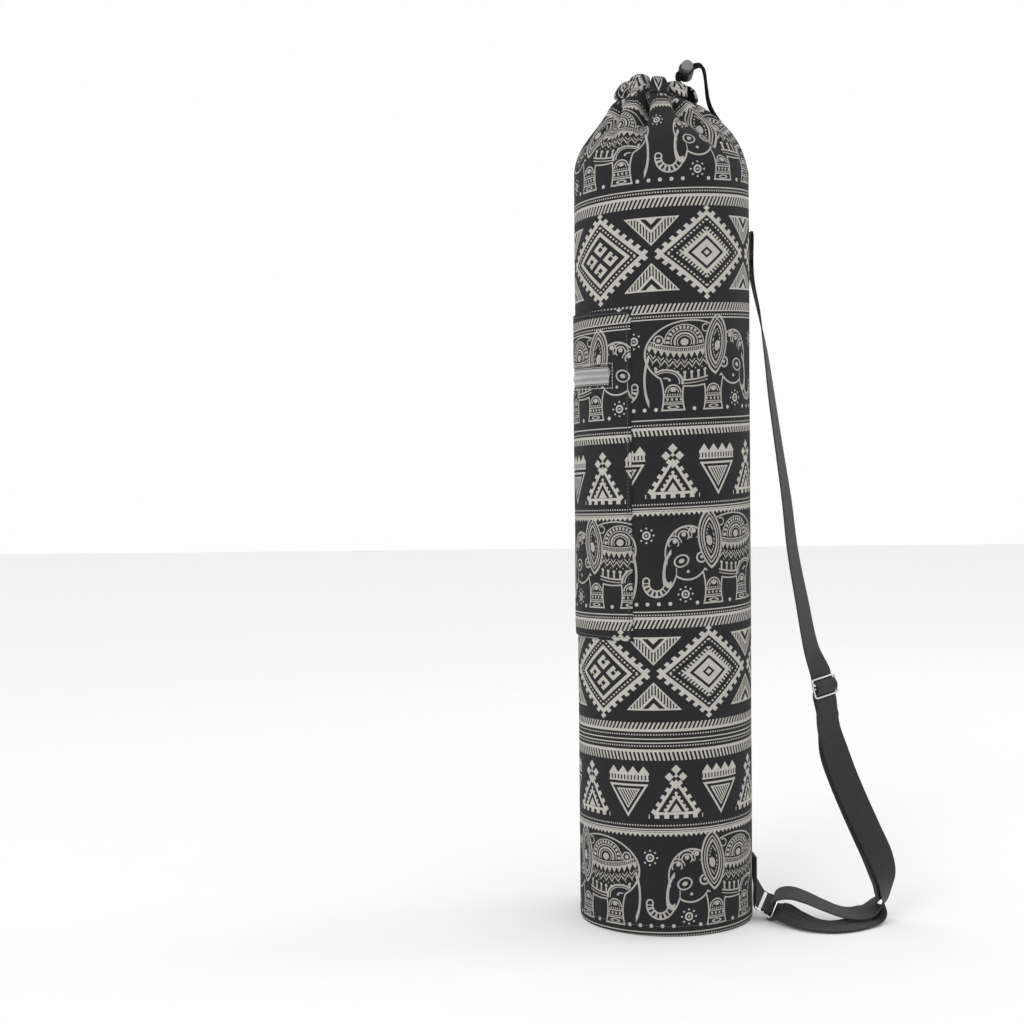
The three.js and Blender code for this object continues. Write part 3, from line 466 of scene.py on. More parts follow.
def tall_at(azimuth):
    """The casing's height at an azimuth: three tenths less in the hardest pinch."""
    return CASING_HEIGHT * (1 - 0.3 * pinch_at(azimuth, 1.0) / 1.3)


def underside_at(azimuth, share):
    """The radius and height of the casing's underside, at a share of its half width."""
    middle, half, height = casing_at(azimuth)
    drop = (1 - np.abs(share) ** SECTION_POWER) ** (1 / SECTION_POWER)
    tall = tall_at(azimuth)
    return middle + half * share + CASING_SLANT * drop * tall / 2, height - drop * tall / 2


def puckers(azimuth):
    """Small gathers between the main creases: three sines of the azimuth, from -1 to 1."""
    a = np.radians(azimuth)
    return 0.5 * np.sin(31 * a + 0.8) + 0.3 * np.sin(47 * a + 2.1) + 0.2 * np.sin(73 * a)


def slackness(azimuth, height):
    """Shallow waves of the cloth's face in millimetres, the sum of a few long sines of azimuth and
    height."""
    a = np.radians(azimuth)
    slow = np.sin(2 * a + height / 95 + 0.4) * np.sin(height / 140 + 1.2)
    quick = np.sin(5 * a - height / 41 + 2.0) * np.sin(3 * a + height / 63)
    return 0.45 * slow + 0.3 * quick


def shoulder_point(azimuth, up, inset):
    """The sleeve's face in the gathered shoulder, at an azimuth and a share of the way up it. Its radius
    is the rim's, plus the spread, plus the crease's depth, plus puckers that grow towards the rim."""
    spread = eased(SHOULDER[:, 0], SHOULDER[:, 1], up)
    fold = eased(SHOULDER[:, 0], SHOULDER[:, 2], up)
    rim, _ = underside_at(azimuth, SEAM_SHARE)
    half = casing_at(azimuth)[1]
    radius = RIM_RADIUS + spread * (BODY_RADIUS - RIM_RADIUS) + fold * (rim - RIM_RADIUS) - inset
    rise = np.clip(up, 0, 1)
    bite = pinch_at(azimuth, rise)
    depth = np.sin(np.pi * rise**1.2) ** 1.1 * (0.45 + 0.55 * rise)
    radius = radius + depth * (2.2 * (1 - bite) - PINCH_DEPTH * bite)
    from_roll = (azimuth - ROLL_AZIMUTH + 180) % 360 - 180
    roll = ROLL_DEPTH * np.exp(-((from_roll / ROLL_REACH) ** 2))
    radius = radius + roll * np.sin(np.pi * rise**1.6) ** 1.2
    radius = radius + 0.9 * puckers(azimuth + 6 * rise) * rise**1.5 * np.sin(np.pi * rise) ** 0.3
    _, top = underside_at(azimuth, SEAM_SHARE - inset / half)
    height = BODY_HEIGHT + up * (top - SEAM_GAP - BODY_HEIGHT)
    return polar(azimuth, radius, height, MOUTH_SHIFT * np.clip(up, 0, 1))


def body_radius(azimuth, height):
    """The radius of the sleeve's straight wall, whose waves fade out at its two ends."""
    share = np.clip((height - HEM_HEIGHT) / (BODY_HEIGHT - HEM_HEIGHT), 0, 1)
    return BODY_RADIUS + 0.6 * np.sin(np.pi * share) ** 0.5 * slackness(azimuth, height)


def sleeve_face(azimuth, step, inset):
    """The sleeve's face on a grid: step runs 0 to 1 round the hem, 1 to 2 up the body and 2 to 3 up the
    shoulder."""
    turn = np.clip(step, 0, 1) * np.pi / 2
    body = np.clip(step - 1, 0, 1)
    height = HEM_HEIGHT * (1 - np.cos(turn)) + (BODY_HEIGHT - HEM_HEIGHT) * body
    radius = body_radius(azimuth, height) - inset - HEM_INSET * (1 - np.sin(turn))
    straight = polar(azimuth, radius, height)
    gathered = shoulder_point(azimuth, np.clip(step - 2, 0, 1), inset)
    return np.where((step > 2)[..., None], gathered, straight)


def cloth_uv(points, azimuth):
    """UVs in millimetres of cloth: round the bag at its full radius, and up along the cloth's own
    face."""
    steps = np.linalg.norm(np.diff(points, axis=0), axis=-1)
    up = np.vstack([np.zeros(points.shape[1]), np.cumsum(steps, axis=0)])
    round_bag = np.broadcast_to(np.radians(azimuth) * BODY_RADIUS, up.shape)
    return np.stack([round_bag, up], -1)


def sleeve():
    """The cloth tube: an outer face from the hem to the rim, an inner face back down, closed at both
    lips."""
    azimuth = np.linspace(-180, 180, 481)
    climb = np.concatenate([
        np.linspace(0, 1, 5),
        np.linspace(1, 2, 61)[1:],
        np.linspace(2, 3, 71)[1:],
    ])
    a, outer_step = np.meshgrid(azimuth, climb)
    outer = sleeve_face(a, outer_step, 0.0)
    sparse = climb[::-3]
    a_in, inner_step = np.meshgrid(azimuth, sparse)
    inner = sleeve_face(a_in, inner_step, CLOTH)
    uv = cloth_uv(outer, azimuth)
    uv = np.concatenate([uv, uv[::-3], uv[:1]])
    rows = np.concatenate([outer, inner])[:, :-1]
    return Skin().grid(rows, uv, close_rows=True, close_columns=True)


def casing_face(azimuth, around, inset):
    """The casing's face: an oval section, each of whose axes is raised to SECTION_POWER, slanted and
    puckered."""
    middle, half, height = casing_at(azimuth)
    share = 2 / SECTION_POWER
    x = np.sign(np.cos(around)) * np.abs(np.cos(around)) ** share
    y = np.sign(np.sin(around)) * np.abs(np.sin(around)) ** share
    rise = (tall_at(azimuth) / 2 - inset) * y
    pucker = 1.1 * puckers(azimuth + 4 * y) * (0.35 + 0.65 * np.abs(x))
    bulge = (1 - pinch_at(azimuth, 1.0)) * np.clip(x, 0, 1)
    radius = middle + (half - inset) * x - CASING_SLANT * rise + pucker * np.sign(x) + bulge
    return polar(azimuth, radius, height + rise, MOUTH_SHIFT)


def casing():
    """The casing: a hollow oval tube bent round the mouth, open where the cord comes out at its two
    ends."""
    first = EXIT_AZIMUTH + EXIT_WIDTH / 2
    azimuth = np.linspace(first, first + 360 - EXIT_WIDTH, 331)
    around = 2 * np.pi * (np.arange(37) / 36) + np.pi
    a, t = np.meshgrid(azimuth, around, indexing="ij")
    outside = casing_face(a, t, 0.0)
    hollow = casing_face(a, t, CLOTH)
    run = np.cumsum(np.linalg.norm(np.diff(outside, axis=1), axis=-1), axis=1)
    up = CASING_CLOTH_START + np.pad(run, ((0, 0), (1, 0)))
    section = np.stack([np.radians(a) * BODY_RADIUS, up], -1)
    rows = np.concatenate([outside[::-1], hollow])[:, :-1]
    uv = np.concatenate([section[::-1], section, section[-1:]])
    return Skin().grid(rows, uv, close_rows=True, close_columns=True)


def base_panel():
    """The round base inside the hem: rings of a closed disc whose upper face is crowned by 0.4 mm."""
    radius = BODY_RADIUS - HEM_INSET - CLOTH - 3 * GAP
    shares = np.concatenate([np.linspace(0.03, 1, 14), np.linspace(1, 0.03, 14)])
    crown = np.concatenate([np.zeros(14), np.full(14, CLOTH)])
    crown[14:] += 0.4 * (1 - shares[14:] ** 2)
    azimuth = np.linspace(0, 360, 121)[:-1]
    a, r = np.meshgrid(azimuth, shares * radius)
    rings = polar(a, r, np.broadcast_to(crown[:, None], r.shape))
    uv = np.zeros((len(shares), len(azimuth) + 1, 2))
    uv[:, :-1] = rings[..., :2]
    uv[:, -1] = rings[:, 0, :2]
    return Skin().grid(rings, uv, close_columns=True).caps(rings, uv)


# The pocket's sides, as lengths round its face from the front, and the zip's edges
POCKET_RIGHT = math.radians(POCKET_RIGHT_AZIMUTH) * POCKET_OUTER
POCKET_LEFT = POCKET_RIGHT - POCKET_WIDTH
ZIP_BOTTOM = ZIP_CENTRE_HEIGHT - ZIP_HEIGHT / 2
ZIP_TOP = ZIP_CENTRE_HEIGHT + ZIP_HEIGHT / 2


def plate(front, back, uv, kept):
    """A plate between two grids of points: both faces where a cell is kept, and walls round every kept
    area."""
    rows, columns = front.shape[:2]
    index = np.arange(rows * columns).reshape(rows, columns)
    uv_flat = np.concatenate([uv.reshape(-1, 2)] * 2)
    corners = np.stack([index[:-1, :-1], index[:-1, 1:], index[1:, 1:], index[1:, :-1]], -1)
    faces = [corners[kept], corners[kept][:, ::-1] + rows * columns]
    edged = np.pad(kept, 1)
    sides = (
        ((0, 1), edged[:-2, 1:-1]),
        ((1, 2), edged[1:-1, 2:]),
        ((2, 3), edged[2:, 1:-1]),
        ((3, 0), edged[1:-1, :-2]),
    )
    for (start, end), beside in sides:
        wall = corners[kept & ~beside]
        pair = np.stack([wall[:, end], wall[:, start]], -1)
        faces.append(np.concatenate([pair, pair[:, ::-1] + rows * columns], -1))
    quads = np.concatenate(faces)
    used, quads = np.unique(quads, return_inverse=True)
    quads = quads.reshape(-1, 4)
    points = np.concatenate([front.reshape(-1, 3), back.reshape(-1, 3)])[used]
    return Skin().faces(points, quads, uv_flat[used][quads].reshape(-1, 2))


def edge_lines(start, end, spacing, fine=(0.0, 0.4, 1.0, 2.0, 3.0, 4.0)):
    """Places across a stitched width: closer together near both edges, for the rounded fold and its
    groove."""
    count = max(2, int((end - start - 2 * fine[-1]) / spacing) + 1)
    inner = np.linspace(start + fine[-1], end - fine[-1], count)
    return np.concatenate([start + np.array(fine[:-1]), inner, end - np.array(fine[:-1])[::-1]])


def folded_edge(distance):
    """Height of folded cloth near its edge: a quarter round over its first millimetre, then a stitched
    groove."""
    round_edge = np.sqrt(np.clip(1 - (1 - np.clip(distance / 1.2, 0, 1)) ** 2, 0, 1))
    groove = 0.3 * np.exp(-(((distance - POCKET_SEAM) / 0.8) ** 2))
    return CLOTH * (0.25 + 0.75 * round_edge) - groove


def pocket_panel():
    """The patch pocket: a plate on the body's face with folded, stitched edges and a window for the
    zip."""
    left, right = POCKET_LEFT, POCKET_RIGHT
    zip_left, zip_right = left + ZIP_MARGIN, right - ZIP_MARGIN
    top = POCKET_BOTTOM + POCKET_HEIGHT
    across = np.concatenate([
        edge_lines(left, zip_left, 4),
        edge_lines(zip_left, zip_right, 3)[1:],
        edge_lines(zip_right, right, 4)[1:],
    ])
    up = np.concatenate([
        edge_lines(POCKET_BOTTOM, ZIP_BOTTOM, 4),
        edge_lines(ZIP_BOTTOM, ZIP_TOP, 3)[1:],
        edge_lines(ZIP_TOP, top, 4)[1:],
    ])
    x, z = np.meshgrid(across, up)
    outer_edge = np.minimum.reduce([x - left, right - x, z - POCKET_BOTTOM, top - z])
    beside = np.maximum(zip_left - x, x - zip_right)
    above = np.maximum(ZIP_BOTTOM - z, z - ZIP_TOP)
    window_edge = np.maximum(beside, above)
    middle = np.clip(np.minimum(outer_edge, 12) / 12, 0, 1)
    puff = 0.35 * middle * (0.5 + 0.5 * np.sin(x / 19 + z / 31)) * np.clip(window_edge / 8, 0, 1)
    thick = np.minimum(folded_edge(outer_edge), folded_edge(np.maximum(window_edge, 0)))
    azimuth = np.degrees(x / POCKET_OUTER)
    front = polar(azimuth, POCKET_INNER + thick + puff, z)
    back = polar(azimuth, POCKET_INNER, z)
    kept = (beside[:-1, :-1] + beside[1:, 1:] > 0) | (above[:-1, :-1] + above[1:, 1:] > 0)
    return plate(front, back, np.stack([x, z], -1), kept)


def zip_tape():
    """The zip's two tapes in one strip, thinner under the coil: a plate following the body's face."""
    left, right = POCKET_LEFT + ZIP_MARGIN + GAP, POCKET_RIGHT - ZIP_MARGIN - GAP
    half = ZIP_HEIGHT / 2 - GAP
    across = np.arange(left, right, 3.0)
    upper = np.array([1, 3, 3.4, 6, half - 0.3, half])
    up = ZIP_CENTRE_HEIGHT + np.concatenate([-upper[::-1], [0], upper])
    x, z = np.meshgrid(across, up)
    off = np.abs(z - ZIP_CENTRE_HEIGHT)
    thick = np.where(off < 3.2, 0.5, ZIP_TAPE) - 0.3 * (off > half - 0.1)
    azimuth = np.degrees(x / POCKET_OUTER)
    front, back = polar(azimuth, POCKET_INNER + thick, z), polar(azimuth, POCKET_INNER, z)
    return plate(front, back, np.stack([x, z], -1), np.ones((len(up) - 1, len(across) - 1), bool))


def zip_teeth():
    """The closed coil: short capsules across the zip's middle, leaning one way and then the other."""
    place = np.arange(POCKET_LEFT + ZIP_MARGIN + 1.5, POCKET_RIGHT - ZIP_MARGIN - 1.5, 1.3)
    lean = 0.35 * np.where(np.arange(len(place)) % 2, 1, -1)
    azimuth = np.degrees(place / POCKET_OUTER)
    middle = polar(azimuth, POCKET_INNER + 1.25, ZIP_CENTRE_HEIGHT)
    a = np.radians(azimuth)
    round_bag = np.stack([np.cos(a), np.sin(a), np.zeros_like(a)], -1)
    along = unit(lean[:, None] * round_bag + np.array([0, 0, 1.0]))
    outwards = polar(azimuth, 1.0, 0.0)
    return beads(middle, along, outwards, length=COIL_HEIGHT - 0.6, width=1.1, height=1.0)


def beads(middles, along, outwards, length, width, height, sides=6):
    """Many small capsules in one skin: an oval section drawn in at both ends, set down at each middle."""
    station = np.array([-0.5, -0.42, -0.2, 0.2, 0.42, 0.5]) * length
    swell = np.array([0.3, 0.8, 1.0, 1.0, 0.8, 0.3])
    aside = np.cross(along, outwards)
    oval = ring_profile(width, height, sides=sides)
    rings = (
        middles[:, None, None]
        + station[None, :, None, None] * along[:, None, None]
        + (swell[:, None] * oval[:, 0])[None, ..., None] * aside[:, None, None]
        + (swell[:, None] * oval[:, 1])[None, ..., None] * outwards[:, None, None]
    )
    count, rows = len(middles), len(station)
    i, j = np.meshgrid(np.arange(rows - 1), np.arange(sides), indexing="ij")
    near, far, beside = i * sides, (i + 1) * sides, (j + 1) % sides
    quads = np.stack([near + j, near + beside, far + beside, far + j], -1)
    start = (np.arange(count) * rows * sides)[:, None, None]
    ends = np.stack([np.arange(sides)[::-1], (rows - 1) * sides + np.arange(sides)])
    points = rings.reshape(-1, 3)
    skin = Skin().faces(points, (quads.reshape(1, -1, 4) + start).reshape(-1, 4))
    skin.loops.append((ends[None] + start).ravel())
    skin.sizes.append(np.full(2 * count, sides))
    skin.uvs.append(np.zeros((2 * count * sides, 2)))
    return skin


def stitches(path, outwards, pitch=3.2, length=2.3, thread=0.55):
    """A row of stitches along a line: capsules every pitch, half sunk into the cloth."""
    far = running_length(path)
    at = np.arange(pitch / 2, far[-1], pitch)
    middle, ahead, behind = (along_line(path, far, at + shift) for shift in (0, 0.3, -0.3))
    out = unit(along_line(outwards, far, at))
    return beads(middle, unit(ahead - behind), out, length, thread, thread * 0.8)


def pocket_ring(left, right, bottom, top):
    """The azimuths and heights of a closed line round a field of the pocket's face."""
    corners = np.array([(left, bottom), (right, bottom), (right, top), (left, top), (left, bottom)])
    x, z = resampled(corners, 400).T
    return np.degrees(x / POCKET_OUTER), z


def pocket_stitches():
    """The pocket's edge seam: one row of stitches in the groove that runs inside its folded edge."""
    edge = POCKET_SEAM
    top = POCKET_BOTTOM + POCKET_HEIGHT
    azimuth, z = pocket_ring(POCKET_LEFT + edge, POCKET_RIGHT - edge, POCKET_BOTTOM + edge, top - edge)
    return stitches(polar(azimuth, POCKET_OUTER - 0.05, z), polar(azimuth, 1.0, 0.0))


def zip_stitches():
    """The seam round the zip's window, in white thread."""
    edge = 2.0
    left, right = POCKET_LEFT + ZIP_MARGIN, POCKET_RIGHT - ZIP_MARGIN
    azimuth, z = pocket_ring(left - edge, right + edge, ZIP_BOTTOM - edge, ZIP_TOP + edge)
    return stitches(polar(azimuth, POCKET_OUTER + 0.15, z), polar(azimuth, 1.0, 0.0), 3.0, 2.3, 0.7)


def hem_stitches():
    """The hem's seam: a row of stitches round the foot of the sleeve."""
    azimuth = np.linspace(0, 360, 721)
    height = HEM_HEIGHT + 4.5
    radius = body_radius(azimuth, height)
    return stitches(polar(azimuth, radius, height), polar(azimuth, 1.0, 0.0))


def casing_stitches():
    """The casing's seam: stitches round its outer face, a little above its lower edge."""
    first = EXIT_AZIMUTH + EXIT_WIDTH / 2
    azimuth = np.linspace(first + 1, first + 359 - EXIT_WIDTH, 900)
    around = np.full_like(azimuth, -0.62)
    line = casing_face(azimuth, around, 0.0)
    return stitches(line, polar(azimuth, 1.0, -0.5))


def back_seam():
    """The sleeve's own seam at the back: a folded ridge of cloth, from above the hem to under the
    shoulder."""
    height = np.linspace(HEM_HEIGHT + 6, BODY_HEIGHT - 4, 90)
    path = polar(BACK_AZIMUTH, body_radius(BACK_AZIMUTH, height) + 0.1, height)
    hint = np.broadcast_to([1.0, 0.0, 0.0], path.shape)
    return sweep(Skin(), path, hint, ring_profile(7.0, 1.4, power=2.6, sides=16))


def back_seam_stitches():
    """The row of stitches along one side of the back seam."""
    height = np.linspace(HEM_HEIGHT + 8, BODY_HEIGHT - 6, 200)
    path = polar(BACK_AZIMUTH, body_radius(BACK_AZIMUTH, height) + 0.72, height) + [2.0, 0, 0]
    return stitches(path, np.broadcast_to([0.0, 1.0, 0.0], path.shape))


def strap_places(rows):
    """Points and width directions from rows of a strap table, each row out, fore, up, turn and lean."""
    out, fore, up, turn, lean = rows.T
    heading, rise = np.radians(turn), np.radians(lean)
    points = np.stack([BODY_RADIUS + out * STRAP_REACH, -fore * STRAP_FORWARD, up * STRAP_TOP], -1)
    across = np.stack([np.sin(heading) * np.cos(rise), np.cos(heading) * np.cos(rise), np.sin(rise)], -1)
    return np.hstack([points, across])


class SliderFrame:
    """A slider's centre, the way across its bars, the way along the strap, and its face, turned to the
    viewer."""

    def __init__(self, place, along):
        self.centre, self.across = place[0, :3], unit(place[0, 3:])
        self.along = unit(along - along @ self.across * self.across)
        self.face = unit(np.cross(self.across, self.along))
        if self.face[1] > 0:
            self.face = -self.face

    def stations(self, places):
        """Strap stations from rows of distance along the strap and height off the slider's face."""
        along, height = np.array(places, float).T
        points = self.centre + along[:, None] * self.along + height[:, None] * self.face
        return np.hstack([points, np.broadcast_to(self.across, points.shape)])


upper_frame = SliderFrame(strap_places(UPPER_SLIDER), UPPER_SLIDER_ALONG)
lower_frame = SliderFrame(strap_places(LOWER_SLIDER), LOWER_SLIDER_ALONG)


def side_places(azimuth, layers, heights):
    """Strap stations on the body's side, standing off it by so many layers."""
    layers, heights = np.asarray(layers, float), np.asarray(heights, float)
    points = polar(azimuth, BODY_RADIUS + GAP + WEB_THICK / 2 + layers * LAYER, heights)
    a = math.radians(azimuth)
    return np.hstack([points, np.broadcast_to([math.cos(a), math.sin(a), 0.0], points.shape)])


def second_layer(rows, back, aside):
    """The doubled run's other layer: its stations moved back off their own face and sideways."""
    run = strap_places(rows)
    face = unit(np.cross(np.gradient(run[:, :3], axis=0), run[:, 3:]))
    face = np.where(face[:, 1:2] > 0, -face, face)
    share = np.linspace(0.5, 1, len(run))[:, None]
    run[:, :3] += -back * face - aside * share * run[:, 3:]
    return run


def strap_stations():
    """The strap's whole way: sewn on the side, down through the upper slider, along the floor, round the
    lower slider's middle bar, and back up to where it is sewn round the upper slider's middle bar."""
    foot, over, behind = STRAP_TOP - STRAP_SEWN, WRAP + LAYER, WRAP + 2 * LAYER
    sewn = side_places(
        STRAP_SIDE_AZIMUTH,
        [0, 0, 0.5, 1, 1],
        [foot, STRAP_TOP - LAYER / 2, STRAP_TOP, STRAP_TOP - LAYER / 2, foot],
    )
    pitch = SLIDER_PITCH
    through = upper_frame.stations([
        (-pitch - 2 * WRAP, -WRAP),
        (-pitch, -WRAP),
        (-0.72 * pitch, -0.45 * WRAP),
        (-0.52 * pitch, 0.7 * WRAP),
        (-0.3 * pitch, 0.85 * over),
        (0, over),
        (0.3 * pitch, 0.85 * over),
        (0.52 * pitch, 0.7 * WRAP),
        (0.72 * pitch, -0.45 * WRAP),
        (pitch, -WRAP),
        (pitch + 2 * WRAP, -WRAP),
    ])
    round_lower = lower_frame.stations([
        (pitch + 0.8 * WRAP, -WRAP),
        (pitch, -WRAP),
        (0.5 * pitch, -WRAP),
        (0, -WRAP),
        (-0.7 * WRAP, -0.7 * WRAP),
        (-WRAP, 0),
        (-0.7 * WRAP, 0.7 * WRAP),
        (0, 1.1 * WRAP),
        (0.45 * pitch, 1.8 * WRAP),
    ])
    round_middle_bar = upper_frame.stations([
        (pitch + TAIL_LENGTH, -behind),
        (pitch + TAIL_LENGTH / 2, -behind),
        (pitch, -behind),
        (0.5 * pitch, -behind + 0.5 * LAYER),
        (0.18 * pitch, -WRAP - 0.35 * LAYER),
        (-0.4 * WRAP, -0.92 * WRAP),
        (-0.92 * WRAP, -0.4 * WRAP),
        (-0.92 * WRAP, 0.4 * WRAP),
        (-0.4 * WRAP, 0.92 * WRAP),
        (0.4 * WRAP, 0.92 * WRAP),
        (0.95 * WRAP, 0.35 * WRAP),
        (1.15 * WRAP, -0.35 * WRAP),
        (0.42 * pitch, -1.05 * WRAP),
        (0.75 * pitch, -over + 0.15 * LAYER),
        (pitch, -over),
        (pitch + TAIL_LENGTH / 2, -over),
        (pitch + TAIL_LENGTH, -over),
    ])
    second = second_layer(DOUBLED_RUN[1:], 2 * LAYER, SECOND_LAYER_ASIDE)[::-1]
    return np.vstack([
        sewn,
        strap_places(UPPER_RUN),
        through,
        strap_places(DOUBLED_RUN),
        strap_places(FLOOR_STRAND),
        round_lower,
        strap_places(HUMP_STRAND),
        second,
        round_middle_bar,
    ])


def webbing_profile(width):
    """The webbing's section: flat faces and rounded edges."""
    half, edge = width / 2, WEB_THICK / 2
    x = np.linspace(-half + edge, half - edge, 13)
    turn = np.radians(np.array([-60, -30, 0, 30, 60]))
    right = np.stack([half - edge + edge * np.cos(turn), edge * np.sin(turn)], -1)
    top = np.stack([x[::-1], np.full(13, edge)], -1)
    bottom = np.stack([x, np.full(13, -edge)], -1)
    return np.vstack([bottom, right, top, -right])


def webbing(stations, width, per_span, square=True):
    """A band of webbing along smooth stations."""
    line = smooth_line(stations, per_span)
    path, across = line[:, :3], unit(line[:, 3:])
    keep = np.append(np.linalg.norm(np.diff(path, axis=0), axis=1) > 0.02, True)
    return sweep(Skin(), path[keep], across[keep], webbing_profile(width), square=square)


def lower_tab_stations():
    """The tab: down the body's side, round the lower slider's inner bar, and back up over itself."""
    foot, bar = TAB_TOP - TAB_SEWN, -SLIDER_PITCH
    loop = lower_frame.stations([
        (bar, -WRAP),
        (bar + 0.7 * WRAP, -0.7 * WRAP),
        (bar + WRAP, 0),
        (bar + 0.7 * WRAP, 0.7 * WRAP),
        (bar, WRAP),
    ])
    inner = side_places(TAB_AZIMUTH, [0, 0], [TAB_TOP, foot])
    outer = side_places(TAB_AZIMUTH, [1, 1], [foot, TAB_TOP])
    return np.vstack([inner, loop, outer])


def sewn_box(azimuth, bottom, top, width, cross):
    """Stitches through webbing sewn on the body's side: a box, and a cross in it."""
    radius = BODY_RADIUS + GAP + LAYER + WEB_THICK
    half = width / 2 - 3
    corners = np.array([(-half, bottom), (half, bottom), (half, top), (-half, top), (-half, bottom)])
    if cross:
        corners = np.vstack([corners, [(half, top), (half, bottom), (-half, top)]])
    x, z = resampled(corners, 300).T
    a = math.radians(azimuth)
    out, aside = np.array([math.sin(a), -math.cos(a), 0.0]), np.array([math.cos(a), math.sin(a), 0.0])
    path = radius * out + x[:, None] * aside + z[:, None] * np.array([0, 0, 1.0])
    return stitches(path, np.broadcast_to(out, path.shape), 2.8, 2.1, 0.7)


def slider_wire(place):
    """A three-bar slider: a wire round a rectangle with rounded corners, and a straight bar across its
    middle."""
    half_width, half_height = (SLIDER_WIDTH - SLIDER_WIRE) / 2, (SLIDER_HEIGHT - SLIDER_WIRE) / 2
    corner = 2.2
    turn = np.radians(np.linspace(0, 90, 7))
    arc = np.stack([np.cos(turn), np.sin(turn)], -1) * corner
    quarter = arc + [half_width - corner, half_height - corner]
    flip = np.array([-1, 1])
    outline = np.vstack([quarter, (quarter * flip)[::-1], -quarter, (quarter * -flip)[::-1]])
    path = place.centre + outline[:, :1] * place.across + outline[:, 1:] * place.along
    wire = ring_profile(SLIDER_WIRE, SLIDER_WIRE * 0.9, power=2.6, sides=14)
    skin = sweep(Skin(), path, np.broadcast_to(place.face, path.shape), wire, closed=True)
    bar = np.linspace(-half_width, half_width, 8)[:, None] * place.across + place.centre
    return sweep(skin, bar, np.broadcast_to(place.face, bar.shape), wire)


press = np.array([0.0, -math.cos(math.radians(LOCK_TIP_UP)), math.sin(math.radians(LOCK_TIP_UP))])
hole = np.array([math.cos(math.radians(HOLE_RISE)), 0.0, math.sin(math.radians(HOLE_RISE))])
hole = unit(hole - hole @ press * press)
stack = np.cross(press, hole)


def in_lock(side, along):
    """Where one of the two cords passes the lock, at a distance along its hole from the middle."""
    spacing = (CORD_DIAMETER + LOCK_CLEARANCE) / 2
    return LOCK_CENTRE + PASSAGE_AT * press + side * spacing * stack + along * hole


def drawcord_loop():
    """The cord's held stretch: from inside the lock into the casing, round in it, and back up to the
    lock."""
    first = EXIT_AZIMUTH + EXIT_WIDTH / 2 - EXIT_RUN
    azimuth = np.linspace(first, first + 360 - EXIT_WIDTH + 2 * EXIT_RUN, 37)
    held = polar(azimuth, CORD_LOOP_RADIUS, casing_at(azimuth)[2], MOUTH_SHIFT)
    entry = -BARREL_DIAMETER / 2 - CORD_DIAMETER / 2

    def rise(side, end):
        mouth = in_lock(side, entry)
        return np.stack([in_lock(side, -GAP / 2), in_lock(side, entry / 2), mouth, (mouth + end) / 2])

    route = np.vstack([rise(-1, held[0]), held, rise(1, held[-1])[::-1]])
    path = smooth_line(route, 6)
    hint = path - np.array([MOUTH_SHIFT, 0, SEAM_HEIGHT - 40])
    return cord_tube(Skin(), path, hint)


def tail_line(side):
    """One free tail's route: through the lock, over the shoulder and down behind it, beside the other
    one."""
    middle = TAIL_ROUTE[:, :3]
    along = np.roll(middle, -1, 0) - np.roll(middle, 1, 0)
    along[0], along[-1] = middle[1] - middle[0], middle[-1] - middle[-2]
    along = unit(along)
    aside = TAIL_ROUTE[:, 3:]
    aside = unit(aside - np.sum(aside * along, -1, keepdims=True) * along)
    route = middle + side * (CORD_DIAMETER + GAP) / 2 * aside
    start = np.stack([in_lock(side, GAP / 2), in_lock(side, BARREL_DIAMETER / 2 + GAP)])
    hints = np.vstack([[stack, stack], aside])
    return smooth_line(np.hstack([np.vstack([start, route]), hints]), 5)


def add_tails(material):
    """The two free tails of the drawcord, which run down into the knot."""
    for number, side in ((1, -1), (2, 1)):
        line = tail_line(side)
        path, hint = line[:, :3], line[:, 3:]
        name = f"cord_tail_{number}_braid"
        tail = add_piece(name, cord_tube(Skin(), path, hint), material, [f"cord_tail_{number}"])
        tuple(in_lock(side, BARREL_DIAMETER / 2) * MM)


def tail_knot():
    """The knot: a cord wound three times round the pair in a helix, its two cut ends coming out below."""
    centre = TAIL_ROUTE[-1, :3] - [0, 0, GAP]
    turn = np.linspace(0, 3.2 * 2 * np.pi, 90)
    radius = KNOT_DIAMETER / 2 - 1.3
    swell = 1 - 0.18 * np.abs(np.linspace(-1, 1, 90)) ** 3
    helix = np.stack([
        radius * swell * np.cos(turn),
        radius * swell * np.sin(turn),
        np.linspace(-1.2, -KNOT_LENGTH + 3.4, 90),
    ], -1)
    hint = helix * [1, 1, 0]
    skin = cord_tube(Skin(), helix + centre, hint, 2.6, 10)
    for side in (-1, 1):
        tail = np.linspace([side * 1.1, 0, -0.5], [side * 1.9, side * 0.6, -KNOT_LENGTH + 0.2], 10)
        cord_tube(skin, tail + centre, np.broadcast_to([0.0, 1.0, 0.0], tail.shape), 2.4, 10)
    return skin


def add_camera():
    """The photograph's camera, from its fitted place, dip below the level, roll and lens."""
    dip, roll = math.radians(CAMERA_DIP), math.radians(CAMERA_ROLL)
    right = np.array([1.0, 0.0, 0.0])
    forward = np.array([0.0, math.cos(dip), -math.sin(dip)])
    up = np.array([0.0, math.sin(dip), math.cos(dip)])
    turned = [math.cos(roll) * right + math.sin(roll) * up, math.cos(roll) * up - math.sin(roll) * right]
    data = bpy.data.cameras.new("view")
    data.lens, data.sensor_width = CAMERA_LENS, 36.0
    camera = bpy.data.objects.new("view", data)
    bpy.context.scene.collection.objects.link(camera)
    place = np.eye(4)
    place[:3, 0], place[:3, 1], place[:3, 2] = turned[0], turned[1], -forward
    place[:3, 3] = np.array(CAMERA_PLACE) * MM
    camera.matrix_world = Matrix(place.tolist())
    bpy.context.scene.camera = camera


